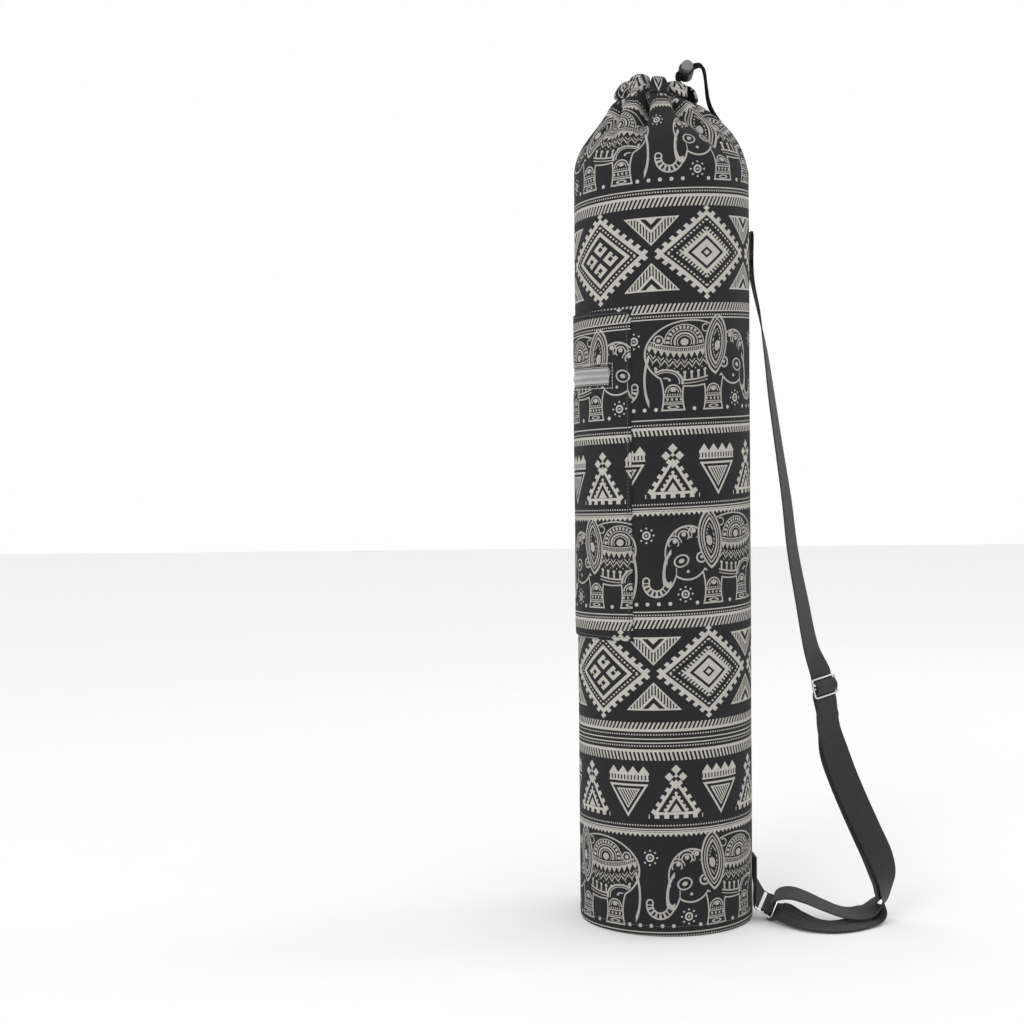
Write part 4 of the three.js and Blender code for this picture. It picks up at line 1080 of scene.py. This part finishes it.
# Print places, in millimetres of cloth round and up from the front and the hem. Each row of a table is a
# band, and the edges are the heights where one band's row gives way to the next.
PRINT_TILT = 0.015
PRINT_TILT_RISE = 0.00005
ELEPHANT_PITCH = 135.0
ELEPHANT_COVER = 0.84
ELEPHANT_EDGES = (200, 420, 600)
ELEPHANT_BANDS = ((8.9, 41.0, 1), (295.8, 39.9, 1), (467.3, 40.9, -1), (668.5, 53.6, 1))
DIAMOND_PITCH = 101.3
DIAMOND_EDGES = (420,)
DIAMOND_BANDS = ((235.6, 34.0), (605.3, 34.8))
DIAMOND_HALF = (44.6, 36.0)
TRIANGLE_PITCH = 87.4
TRIANGLE_EDGES = (270, 620)
TRIANGLE_BANDS = ((106.6, 2.7), (390.8, 1.7), (763.5, 20.0))
THIN_LINES = (4.5, 95.1, 96.9, 174.0, 177.5, 290.5, 380.1, 382.2, 459.7, 548.1, 553.9, 661.8, 753.0, 755.0)
THICK_LINES = (167.1, 185.2, 284.8, 452.1, 655.4)
DOT_ROWS = (1.6, 100.3, 171.3, 181.4, 287.6, 385.5, 455.4, 550.7, 659.1, 758.0)
SAW_ROWS = (94.3, 379.3, 752.0)
FRINGE_PITCH = 3.9
FRINGES_RIGHT = ((284.0, 275.8), (655.0, 646.3), (185.0, 192.3), (554.5, 561.3))
FRINGES_LEFT = ((166.4, 158.4), (451.6, 446.0))


def add_node(tree, kind, inputs, **settings):
    """A shader node with its settings. Each input is linked to a socket or set to a value."""
    node = tree.nodes.new("ShaderNode" + kind)
    for name, value in settings.items():
        setattr(node, name, value)
    for place, value in inputs.items():
        if isinstance(value, bpy.types.NodeSocket):
            tree.links.new(value, node.inputs[place])
        else:
            node.inputs[place].default_value = value
    return node


class Ink:
    """A value inside a material's node tree. Sums, products and comparisons of it add Math nodes."""

    def __init__(self, tree, socket):
        self.tree, self.socket = tree, socket

    def step(self, operation, *others):
        inputs = [value.socket if isinstance(value, Ink) else value for value in (self, *others)]
        node = add_node(self.tree, "Math", dict(enumerate(inputs)), operation=operation)
        return Ink(self.tree, node.outputs[0])

    def __add__(self, other):
        return self.step("ADD", other)

    def __sub__(self, other):
        return self.step("SUBTRACT", other)

    def __rsub__(self, other):
        return self.step("MULTIPLY_ADD", -1.0, other)

    def __mul__(self, other):
        return self.step("MULTIPLY", other)

    def __abs__(self):
        return self.step("ABSOLUTE")

    def __and__(self, other):
        return self.step("MULTIPLY", other)

    def __or__(self, other):
        return self.step("MAXIMUM", other)

    def outside(self):
        """1 where this mask is 0, and 0 where it is 1."""
        return self.step("MULTIPLY_ADD", -1.0, 1.0)

    def below(self, limit):
        return self.step("LESS_THAN", limit)

    def above(self, limit):
        return self.step("GREATER_THAN", limit)

    def near(self, middle, reach):
        """1 within reach of middle, and 0 elsewhere."""
        return self.step("COMPARE", middle, reach)

    def repeat(self, pitch):
        """The distance from the nearest multiple of pitch, with its sign."""
        return self.step("WRAP", pitch / 2, -pitch / 2)

    def least(self, other):
        return self.step("MINIMUM", other)

    def most(self, other):
        return self.step("MAXIMUM", other)


def parts_of(tree, vector):
    """A vector's x and y."""
    node = add_node(tree, "SeparateXYZ", {0: vector})
    return Ink(tree, node.outputs[0]), Ink(tree, node.outputs[1])


class Spot:
    """A point of the cloth in a motif's own frame: x and y, and the two joined in a vector."""

    def __init__(self, x, y):
        self.x, self.y, self.tree = x, y, x.tree
        self.vector = add_node(self.tree, "CombineXYZ", {0: x.socket, 1: y.socket}).outputs[0]

    def oval(self, x, y, half_width, half_height, turn=0.0):
        """The distance from a middle as a share of an oval's radius: 1 on its line, less inside."""
        place = {
            "Vector": self.vector,
            "Location": (x, y, 0),
            "Rotation": (0, 0, math.radians(turn)),
            "Scale": (half_width, half_height, 1),
        }
        local = add_node(self.tree, "Mapping", place, vector_type="TEXTURE").outputs[0]
        length = add_node(self.tree, "VectorMath", {0: local}, operation="LENGTH")
        return Ink(self.tree, length.outputs["Value"])

    def ring(self, x, y, radius, half_line):
        """A ring's line."""
        return self.oval(x, y, 1, 1).near(radius, half_line)

    def disc(self, x, y, radius):
        return self.oval(x, y, radius, radius).below(1.0)


def any_of(masks):
    """1 where any of the masks is 1."""
    total = masks[0]
    for mask in masks[1:]:
        total = total | mask
    return total


def band_values(height, edges, table):
    """Each column's value in the band that a height lies in: each edge that it has passed adds the next
    value's step."""
    totals = []
    for values in zip(*table):
        total = values[0]
        for edge, before, after in zip(edges, values, values[1:]):
            total = height.above(edge).step("MULTIPLY_ADD", after - before, total)
        totals.append(total)
    return totals


def between(height, spans):
    """1 where a height lies in any of the spans."""
    return any_of([height.near((a + b) / 2, abs(b - a) / 2) for a, b in spans])


def sun(spot, x, y):
    """A small sun: a ring with a dot in it and eight dots round it."""
    dx, dy = spot.x - x, spot.y - y
    radius = Spot(dx, dy).oval(0, 0, 1, 1)
    turn = dy.step("ARCTAN2", dx).repeat(math.pi / 4)
    rays = radius.near(6.4, 0.75) & abs(turn).below(0.12)
    return radius.near(3.0, 0.75) | radius.below(1.0) | rays


def elephant(spot):
    """A walking elephant in plain traditional line, its front foot at 0, 0 and its trunk towards -x, made
    of ovals, bars and rings. Gives its whole area and its ink."""
    x, y = spot.x, spot.y
    body = (spot.oval(22, 50, 42, 29.5) - 1.0) * 34
    head = (spot.oval(-25, 46, 21, 24.5) - 1.0) * 22
    trunk = (spot.oval(-40.6, 33, 6.8, 19.5, -9) - 1.0) * 8
    curl = spot.oval(-53, 20, 1, 1)
    hook = (abs(curl - 9.6) - 3.4).most(y - 21.0)
    tip = (spot.oval(-62.4, 22, 3.6, 3.6) - 1.0) * 3.6
    leg = abs(x - 19.2) - 19.2
    flare = (y - 13) * (y - 13) * 0.011
    foot = (abs(leg) - flare).most(abs(y - 15.5) - 6.4) - 9.1
    area = body.least(head).least(trunk).least(hook).least(tip).least(foot)
    outline = area.near(-0.7, 0.7)
    inside = area.below(0)

    ear_place = spot.oval(6, 56, 21, 31, 16).most(spot.oval(-13, 60, 21, 31, 16))
    ear = (ear_place - 1.0) * 19
    ear_lines = any_of([
        ear.near(-0.6, 0.7),
        ear.near(-3.0, 0.4),
        ear.near(-5.0, 0.6),
        spot.oval(-4.5, 56, 2.8, 4.6, 14).below(1.0),
        ear.near(-7.4, 0.5) & (y * 0.8 + x).repeat(3.0).above(0),
    ])
    in_ear = ear.below(0.4)

    sag = x - 28
    level = y - sag * sag * 0.0065
    torso = (body.below(-2.0) & (x - 6).above(0)) & in_ear.outside()
    tooth = abs(x.repeat(5.4))
    zigzag = abs(x.repeat(7.0)) * 1.3
    bands = any_of([
        level.near(51.0, 0.9),
        level.near(55.2, 0.5),
        (level - 45.6).step("MULTIPLY", 0.5).above(tooth) & level.below(50.5),
        (level - zigzag).near(37.8, 0.75),
        (level - zigzag).near(41.6, 0.65) & level.below(44.8),
        level.near(26.6, 0.7),
        level.near(23.8, 0.4),
        level.near(53.2, 0.9) & x.repeat(1.9).above(0.0),
    ])
    small = Spot((x - 28).repeat(6.4), level)
    key = small.disc(0, 33.2, 1.5) | small.oval(0, 29.6, 1.0, 2.8).below(1.0)
    keys = key | small.disc(3.2, 36.4, 0.8)
    flower = spot.oval(28, 60, 1, 0.86)
    fan = (y - 60).step("ARCTAN2", sag).repeat(0.26)
    crown = any_of([
        flower.near(17.8, 0.5),
        flower.near(15.0, 1.6) & abs(fan).below(0.075),
        flower.near(12.0, 0.5),
        flower.near(8.9, 0.9),
        flower.near(6.4, 0.4),
        flower.below(3.6),
    ]) & level.above(57.0)
    side_rings = any_of([spot.ring(51, 62, 4.0, 0.6), spot.disc(51, 62, 1.8), spot.ring(8, 72, 3.2, 0.5)])
    haunch = spot.oval(45, 25, 15, 11)
    knee = spot.oval(45, 27, 4.2, 2.2)
    thigh = any_of([haunch.near(1.0, 0.07), haunch.near(0.82, 0.035), knee.near(0.8, 0.25)])
    dress = torso & (any_of([bands, keys, crown, side_rings]) & haunch.above(1.0) | (thigh & y.above(21)))

    face = any_of([
        spot.oval(-31, 39, 6.4, 5.0, 20).near(1.0, 0.12),
        spot.oval(-31, 39, 2.6, 1.9, 20).below(1.0),
        spot.disc(-25, 29.5, 1.4),
        spot.ring(-12.5, 41.5, 4.3, 0.8),
        spot.disc(-12.2, 41.8, 1.5),
        spot.ring(-29, 61, 4.6, 0.6) & y.above(58),
        spot.ring(-19.5, 63.5, 5.2, 0.6) & y.above(59),
        spot.ring(-38, 54.5, 4.4, 0.6) & y.above(52),
        spot.ring(-29, 61, 7.4, 0.45) & y.above(60),
        spot.ring(-38, 54.5, 7.0, 0.45) & y.above(55),
        spot.disc(-29, 62.4, 2.0),
        spot.disc(-20, 65.4, 2.2),
        spot.disc(-37, 56.4, 1.8),
        (x + 44.0).near(0, 0.5) & y.near(34, 9),
        (x + 35.5).near(0, 0.4) & y.near(27, 6),
    ]) & (head.below(-0.5) & in_ear.outside())
    turn = (y - 20).step("ARCTAN2", x + 53)
    stripes = (hook.below(-0.4) & turn.repeat(0.42).above(0.0)) & trunk.above(0.6)
    sheen = trunk.near(-1.8, 1.0) & (x + 40).below(0)

    leg_spot = Spot(leg, y)
    cuff = foot.below(-1.3) & y.below(25) & any_of([
        y.near(6.0, 0.5),
        y.near(7.6, 0.35),
        y.near(12.4, 0.5),
        y.near(10.0, 1.1) & leg.repeat(4.0).above(0.2),
        y.near(14.2, 0.7) & leg.repeat(2.2).above(0.0),
        leg_spot.ring(0, 15.8, 6.8, 0.6) & y.above(15.8),
        leg_spot.ring(0, 15.8, 4.6, 0.4) & y.above(15.8),
        leg_spot.oval(0, 18.2, 2.6, 1.6).below(1.0),
        leg_spot.oval(0, 3.2, 5.2, 1.6).near(0.8, 0.22),
    ])

    tail = spot.oval(54, 27, 9.6, 25).near(1.0, 0.1) & x.above(59.5)
    ink = any_of([outline & in_ear.outside(), ear_lines, dress, face, stripes, sheen, cuff, tail])
    return inside | in_ear, ink


def diamond(x, y, half_width, half_height):
    """Distances in a diamond: how far out, 1 on its line, and the place along a side in millimetres."""
    across, up = abs(x) * (1 / half_width), abs(y) * (1 / half_height)
    return across + up, (across - up) * (math.hypot(half_width, half_height) / 2)


def comb(out, along, foot, tip, pitch):
    """Square teeth between two distances out, every pitch along the side."""
    middle, half = (foot + tip) / 2, abs(tip - foot) / 2
    return out.near(middle, half) & along.repeat(pitch).above(0.0)


def diamonds(x, y):
    """The two large diamonds in turn: one of nested rings, and one round a key of four blocks."""
    pair = (x + DIAMOND_PITCH / 2).repeat(2 * DIAMOND_PITCH)
    first = pair.above(0)
    local = x.repeat(DIAMOND_PITCH)
    out, along = diamond(local, y, *DIAMOND_HALF)
    shared = any_of([out.near(0.965, 0.062), comb(out, along, 1.02, 1.15, 8.2)])
    dots = out.near(0.81, 0.028) & abs(along.repeat(3.7)).below(0.9)
    nested = any_of([
        comb(out, along, 0.53, 0.65, 3.4),
        out.near(0.475, 0.06),
        out.near(0.235, 0.095),
        out.below(0.07),
    ])
    across, up = local * (1 / DIAMOND_HALF[0]), y * (1 / DIAMOND_HALF[1])
    rising, falling = abs(across + up), abs(across - up)
    block = rising.near(0.26, 0.19) & falling.near(0.26, 0.19)
    hollow = rising.near(0.26, 0.07) & falling.near(0.26, 0.07)
    notch = hollow | (rising.near(0.45, 0.08) & falling.near(0.26, 0.05))
    keyed = out.near(0.65, 0.055) | (block & notch.outside())
    return any_of([shared, dots, first & nested, first.outside() & keyed])


def hatched_triangles(x, y):
    """Triangles that fit between the diamonds, tips towards the middle: outline, upright hatching and
    chevrons."""
    local = abs((x + DIAMOND_PITCH / 2).repeat(DIAMOND_PITCH))
    up = abs(y) - 7.5
    chevron = up - local
    inside = chevron.above(0) & up.below(25.0)
    hatch = chevron.near(5.6, 4.4) & local.step("ADD", 0.6).repeat(2.7).above(0.0)
    edges = chevron.below(1.5) | up.above(23.6)
    return inside & any_of([edges, chevron.near(12.0, 1.6), chevron.above(18.5), hatch])


def stepped_triangles(x, y):
    """Upright stepped triangles with three small diamonds at their tips, each by an upturned one with a
    crown."""
    local = x.repeat(TRIANGLE_PITCH)
    side = abs(local)
    slope = 1.54
    square = 1 / math.hypot(slope, 1)
    edge = (side * slope + y - 34.5) * square
    along = (y * slope - side) * square
    inner = edge.most(3.6 - y)
    teeth = (edge.near(1.6, 1.6) & along.repeat(7.6).above(0.0)) & y.above(3.5)
    base_teeth = (y.near(1.8, 1.8) & (local + 2.1).repeat(8.6).above(0.0)) & side.below(24.5)
    outline = inner.near(-0.9, 1.2)
    small = (side * slope + y - 22.0) * square
    home = any_of([
        small.near(-1.0, 1.1),
        small.near(0.8, 0.8) & along.repeat(4.4).above(0.0),
        small.below(-4.6),
    ]) & y.above(6.0)
    gems = any_of([
        (side + abs(y - 43.6)).below(4.3),
        (abs(side - 6.0) + abs(y - 37.2)).below(4.0),
        (side + abs(y - 28.4)).below(2.4),
    ])
    upright = any_of([teeth, base_teeth, outline, home & inner.below(-2), gems])

    crowned = (x - TRIANGLE_PITCH / 2).repeat(TRIANGLE_PITCH)
    beside = abs(crowned)
    hull = (beside * 1.55 - y + 1.0) * (1 / math.hypot(1.55, 1))
    shell = hull.most(y - 30.5)
    marks = any_of([
        shell.near(-0.9, 0.9),
        shell.near(-4.6, 0.5),
        shell.below(-4.6) & (crowned + y * 0.6).repeat(2.6).above(0.0),
    ])
    point = abs((crowned + 4.9).repeat(9.8))
    roof = (y + point * 1.3).below(46.5) & y.above(38.5)
    posts = (y.near(36.3, 2.6) & abs(crowned.repeat(3.27)).above(0.7)) | y.near(33.6, 0.6)
    crown = (roof | posts) & beside.below(19.6)
    return upright | (marks | crown)


def printed_pattern(tree, uv):
    """The print's mask, 1 where the cloth is inked, from UVs in millimetres."""
    u, raw = parts_of(tree, uv)
    v = raw - u * (raw * PRINT_TILT_RISE + PRINT_TILT)

    foot, start, facing = band_values(v, ELEPHANT_EDGES, ELEPHANT_BANDS)
    spot = Spot(((u - start) * facing).repeat(ELEPHANT_PITCH), v - foot)
    area, elephants = elephant(spot)
    in_band = spot.y.near(40, 43)
    row = Spot((spot.x + 61.4).repeat(10.1), spot.y).disc(0, 1.5, 1.7) & spot.x.near(-51.3, 14)
    far_dots = any_of([row] + [spot.disc(place, 1.5, 1.7) for place in (-16.6, 19.2, 53.6, 63.6)])
    suns = sun(spot, -62.0, 62.5) | sun(spot, -27.5, 9.5)
    walkers = in_band & (elephants * ELEPHANT_COVER | ((far_dots | suns) & area.outside()))

    centre, diamond_start = band_values(v, DIAMOND_EDGES, DIAMOND_BANDS)
    dx, dy = u - diamond_start, v - centre
    lattice = abs(dy).below(42) & (diamonds(dx, dy) | hatched_triangles(dx, dy))

    base, triangle_start = band_values(v, TRIANGLE_EDGES, TRIANGLE_BANDS)
    ty = v - base
    steps = ty.near(24, 24.5) & stepped_triangles(u - triangle_start, ty)

    lines = [v.near(height, 0.5) for height in THIN_LINES]
    lines = any_of(lines + [v.near(height, 1.2) for height in THICK_LINES])
    dots = any_of([v.near(height, 0.6) for height in DOT_ROWS]) & u.repeat(2.5).above(0.0)
    saw_tooth = abs(u.repeat(4.6)) * 1.2
    saws = any_of([(v + saw_tooth).near(height + 0.4, 1.7) & v.below(height) for height in SAW_ROWS])
    right = between(v, FRINGES_RIGHT) & (u - v * 0.5).repeat(FRINGE_PITCH).above(0.1)
    left = between(v, FRINGES_LEFT) & (u + v * 0.3).repeat(FRINGE_PITCH).above(0.1)
    return any_of([walkers, lattice, steps, lines, dots, saws, right, left])


class Paint:
    """A material with its node tree, and short ways to add to it. Values that a texture changes are
    linked, and the ones that are the same all over are set on the shader's own sockets."""

    def __init__(self, name, metallic=0.0, sheen=0.0, gloss=0.5):
        self.material = bpy.data.materials.new(name)
        self.material.use_nodes = True
        self.tree = self.material.node_tree
        self.shader = self.tree.nodes["Principled BSDF"]
        self.shader.inputs["Metallic"].default_value = metallic
        self.shader.inputs["Sheen Weight"].default_value = sheen
        self.shader.inputs["Specular IOR Level"].default_value = gloss

    def cloth(self):
        """The UVs' socket."""
        return add_node(self.tree, "UVMap", {}, uv_map="cloth").outputs["UV"]

    def across_and_along(self):
        return parts_of(self.tree, self.cloth())

    def noise(self, cell, detail=3.0, stretch=(1, 1, 1)):
        """Noise over the object's own metres, 0 to 1, with cells of so many millimetres."""
        place = add_node(self.tree, "TexCoord", {}).outputs["Object"]
        place = add_node(self.tree, "Mapping", {"Vector": place, "Scale": stretch}).outputs[0]
        cells = {"Vector": place, "Scale": 1000.0 / cell, "Detail": detail}
        return Ink(self.tree, add_node(self.tree, "TexNoise", cells).outputs["Fac"])

    def blend(self, share, low, high):
        """A colour between two, each either a colour or another blend."""
        low, high = ((*colour, 1) if isinstance(colour, tuple) else colour for colour in (low, high))
        sockets = {"Factor": share.socket, 6: low, 7: high}
        return add_node(self.tree, "Mix", sockets, data_type="RGBA").outputs[2]

    def colour(self, socket):
        self.tree.links.new(socket, self.shader.inputs["Base Color"])

    def rough(self, share, low, high):
        """Roughness between two values."""
        self.tree.links.new((share * (high - low) + low).socket, self.shader.inputs["Roughness"])

    def bump(self, height, depth):
        """Relief of so many millimetres from a height of 0 to 1."""
        node = add_node(self.tree, "Bump", {"Distance": depth * MM, "Height": height.socket})
        self.tree.links.new(node.outputs[0], self.shader.inputs["Normal"])


def wave(value, period):
    """A sine of a length in millimetres, from 0 to 1."""
    return (value * (2 * math.pi / period)).step("SINE") * 0.5 + 0.5


def canvas_paint(name, shift=0.0, drop=0.0, growth=1.0, printed=True):
    """Cotton canvas: a plain weave of fine yarns, dyed near black and printed in warm white. The ink is
    thinner on the yarns' sides and worn in patches."""
    paint = Paint(name, sheen=0.04, gloss=0.1)
    u, v = paint.across_and_along()
    weave = wave(u, 1.1) * wave(v, 1.1) + (wave(u, 1.1) - 1.0) * (wave(v, 1.1) - 1.0)
    mottle = paint.noise(14, 4)
    fuzz = paint.noise(1.5, 2)
    ground = paint.blend(mottle, (0.0115, 0.0115, 0.0125), (0.021, 0.021, 0.0225))
    ground = paint.blend(weave * 0.35, ground, (0.034, 0.034, 0.036))
    if printed:
        place = {"Vector": paint.cloth(), "Location": (-shift, drop, 0), "Scale": (1, growth, 1)}
        mask = printed_pattern(paint.tree, add_node(paint.tree, "Mapping", place).outputs[0])
        cover = (fuzz * 0.3 + 0.72) * (weave * 0.12 + 0.9)
        ink = paint.blend(mottle, (0.46, 0.438, 0.402), (0.585, 0.562, 0.522))
        ground = paint.blend((mask * cover).least(1.0), ground, ink)
    paint.colour(ground)
    paint.rough(fuzz, 0.78, 0.95)
    paint.bump(weave * 0.6 + mottle * 0.8, 0.25)
    return paint.material


def webbing_paint(name):
    """Woven webbing: weft ribs across, turned into chevrons by two columns of twill, and a few faded
    yarns."""
    paint = Paint(name, sheen=0.1, gloss=0.3)
    round_it, along = paint.across_and_along()
    twill = abs((round_it + 1.0).repeat(6.5))
    rib = wave(along + twill * 0.9, 1.7)
    yarn = wave(round_it, 1.6)
    fade = paint.noise(9, 4, (1, 1, 0.3))
    dark = paint.blend(fade, (0.011, 0.0115, 0.0125), (0.022, 0.0225, 0.024))
    paint.colour(paint.blend(rib * yarn * 0.8, dark, (0.036, 0.037, 0.039)))
    paint.rough(paint.noise(2, 2), 0.62, 0.85)
    paint.bump(rib * 0.7 + yarn * 0.3, 0.35)
    return paint.material


def braid_paint(name):
    """Braided cord: crossing strands, each a raised lozenge, matte black with a few greyer fibres."""
    paint = Paint(name, sheen=0.03, gloss=0.1)
    round_it, along = paint.across_and_along()
    strands = wave(round_it + along * 0.8, 1.57) * wave(round_it - along * 0.8, 1.57)
    fibre = paint.noise(0.8, 3)
    paint.colour(paint.blend(fibre * strands, (0.006, 0.006, 0.0065), (0.03, 0.03, 0.031)))
    paint.rough(fibre, 0.65, 0.9)
    paint.bump(strands, 0.35)
    return paint.material


def steel_paint(name):
    """Nickel-plated wire: bright, with fine drawing marks, dull patches and a warmer tint where it is
    rubbed."""
    paint = Paint(name, metallic=1.0)
    patch = paint.noise(4, 4)
    marks = paint.noise(0.5, 2, (1, 1, 0.15))
    paint.colour(paint.blend(patch, (0.56, 0.56, 0.575), (0.74, 0.735, 0.72)))
    paint.rough(patch * 0.6 + marks * 0.4, 0.16, 0.42)
    paint.bump(marks, 0.02)
    return paint.material


def tape_paint(name):
    """Zip tape: pale grey herringbone with a darker line painted beside the coil as its shade, and the
    pocket's dark turned edge, sewn with white thread, over its outer two and a half millimetres."""
    paint = Paint(name, sheen=0.1)
    u, v = paint.across_and_along()
    off = abs(v - ZIP_CENTRE_HEIGHT)
    twill = wave(u + abs(off.repeat(2.4)) * 1.2, 1.2)
    patch = paint.noise(8, 4)
    tape = paint.blend(patch, (0.36, 0.36, 0.365), (0.47, 0.47, 0.475))
    tape = paint.blend(twill * 0.5, tape, (0.25, 0.25, 0.255))
    # painted shade: a darker line along the foot of the coil, where the tape steps up to it
    tape = paint.blend(off.near(3.6, 0.35) * 0.6, tape, (0.16, 0.16, 0.165))
    edge = off.above(6.7)
    thread = off.near(7.7, 0.35) & u.repeat(3.0).above(-0.6)
    border = paint.blend(thread, (0.016, 0.016, 0.017), (0.42, 0.41, 0.39))
    paint.colour(paint.blend(edge, tape, border))
    paint.rough(patch, 0.6, 0.85)
    paint.bump(twill * 0.5 + edge, 0.3)
    return paint.material


def coil_paint(name):
    """The coil's nylon: pale grey, a little glossy, duller in patches."""
    paint = Paint(name)
    patch = paint.noise(5, 3)
    paint.colour(paint.blend(patch, (0.34, 0.34, 0.345), (0.5, 0.5, 0.505)))
    paint.rough(patch, 0.3, 0.5)
    paint.bump(paint.noise(0.6, 2), 0.04)
    return paint.material


def plastic_paint(name, dark, light):
    """Moulded plastic: a fine sparked texture, slightly uneven colour, and a paler rubbed tint in
    places."""
    paint = Paint(name)
    cloud, rub = paint.noise(6, 3), paint.noise(1.8, 4)
    base = paint.blend(cloud, dark, light)
    paint.colour(paint.blend(rub.above(0.66) * 0.35, base, tuple(min(1.0, c * 2.2) for c in light)))
    paint.rough(rub, 0.34, 0.55)
    paint.bump(paint.noise(0.35, 2), 0.03)
    return paint.material


def thread_paint(name, low, high):
    """Sewing thread: twisted plies and a little soiling between two colours."""
    paint = Paint(name, sheen=0.2)
    soil = paint.noise(3, 3)
    paint.colour(paint.blend(soil, low, high))
    paint.rough(soil, 0.6, 0.8)
    paint.bump(paint.noise(0.4, 1), 0.08)
    return paint.material


def floor_paint(name):
    """The studio floor: a plain pale paper with a faint grain."""
    paint = Paint(name, gloss=0.1)
    grain = paint.noise(60, 4)
    paint.colour(paint.blend(grain, (0.86, 0.86, 0.86), (0.88, 0.88, 0.88)))
    paint.rough(grain, 0.85, 0.95)
    return paint.material


def add_cloth():
    """The sleeve, casing, base, pocket and zip, and the thread that holds them."""
    canvas = canvas_paint("printed canvas")
    pocket_canvas = canvas_paint("printed pocket canvas", shift=20.0, drop=-3.4, growth=1.018)
    base_canvas = canvas_paint("base canvas", printed=False)
    thread = thread_paint("white thread", (0.40, 0.385, 0.355), (0.60, 0.585, 0.55))
    dark_thread = thread_paint("grey thread", (0.07, 0.07, 0.072), (0.13, 0.13, 0.132))
    for name, skin, material, replaced in (
        ("sleeve_cloth", sleeve(), canvas, ["sleeve"]),
        ("casing_cloth", casing(), canvas, ["casing"]),
        ("base_cloth", base_panel(), base_canvas, ["base_panel"]),
        ("pocket_cloth", pocket_panel(), pocket_canvas, ["pocket_panel"]),
        ("back_seam_cloth", back_seam(), base_canvas, []),
    ):
        add_piece(name, skin, material, replaced)
    add_piece("zip_tapes", zip_tape(), tape_paint("zip tape"), ["zip"])
    add_piece("zip_coil", zip_teeth(), coil_paint("zip coil"))
    strap_foot, tab_foot = STRAP_TOP - STRAP_SEWN, TAB_TOP - TAB_SEWN
    strap_box = sewn_box(STRAP_SIDE_AZIMUTH, strap_foot + 3, STRAP_TOP - 3, WEB_WIDTH, cross=True)
    tab_box = sewn_box(TAB_AZIMUTH, tab_foot + 2, TAB_TOP - 2.5, TAB_WIDTH, cross=False)
    for name, rows, material in (
        ("pocket_stitching", pocket_stitches(), dark_thread),
        ("hem_stitching", hem_stitches(), dark_thread),
        ("casing_stitching", casing_stitches(), dark_thread),
        ("back_seam_stitching", back_seam_stitches(), dark_thread),
        ("zip_stitching", zip_stitches(), thread),
        ("strap_stitching", strap_box, dark_thread),
        ("tab_stitching", tab_box, thread),
    ):
        add_piece(name, rows, material)


def add_cords():
    """The drawcord in the casing, its two free tails and their knot."""
    braid = braid_paint("braided cord")
    knot = add_piece("tail_knot_wound", tail_knot(), braid, ["tail_knot"])
    add_tails(braid)
    add_piece("drawcord_braid", drawcord_loop(), braid, ["drawcord_loop"])


def add_strap():
    """The webbing strap, its tab and the two wire sliders."""
    web, steel = webbing_paint("webbing"), steel_paint("plated wire")
    tab = webbing(lower_tab_stations(), TAB_WIDTH, 8, square=False)
    add_piece("strap_webbing", webbing(strap_stations(), WEB_WIDTH, 6), web, ["strap"])
    add_piece("tab_webbing", tab, web, ["lower_tab"])
    add_piece("upper_slider_wire", slider_wire(upper_frame), steel, ["upper_slider"])
    add_piece("lower_slider_wire", slider_wire(lower_frame), steel, ["lower_slider"])
    return steel


def paint_nodes(finishes):
    """Gives each of the frame's own nodes that stays its finish."""
    for node, finish in finishes.items():
        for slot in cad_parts[node].material_slots:
            slot.material = finish


def add_floor():
    """A wide square floor under the bag."""
    x, y = np.meshgrid([-FLOOR_HALF, FLOOR_HALF], [-FLOOR_HALF, FLOOR_HALF])
    floor = bpy.data.objects.new("floor", Skin().grid(np.stack([x, y, np.zeros_like(x)], -1)).mesh("floor"))
    bpy.context.scene.collection.objects.link(floor)
    floor.data.materials.append(floor_paint("floor paper"))


def add_light(name, place, size, power):
    """A square soft light that faces the bag's middle."""
    light = bpy.data.objects.new(name, bpy.data.lights.new(name, "AREA"))
    light.data.size, light.data.energy = size, power
    light.location = place
    light.rotation_euler = (Vector(LIGHT_AIM) - Vector(place)).to_track_quat("-Z", "Y").to_euler()
    bpy.context.scene.collection.objects.link(light)


def add_studio():
    """White light from all round, a key light from the left, a rim light, and a floor."""
    world = bpy.data.worlds.new("studio")
    world.use_nodes = True
    background = world.node_tree.nodes["Background"].inputs
    background["Color"].default_value, background["Strength"].default_value = (1, 1, 1, 1), SKY_STRENGTH
    bpy.context.scene.world = world
    bpy.context.scene.view_settings.view_transform = "Standard"
    for light in LIGHTS:
        add_light(*light)
    add_floor()


add_camera()
add_cords()
add_cloth()
steel = add_strap()
paint_nodes({
    "zip_pull": steel,
    "lock_barrel": plastic_paint("lock plastic", (0.009, 0.009, 0.0095), (0.016, 0.016, 0.0165)),
    "lock_button": plastic_paint("button plastic", (0.13, 0.13, 0.135), (0.18, 0.18, 0.185)),
})
add_studio()
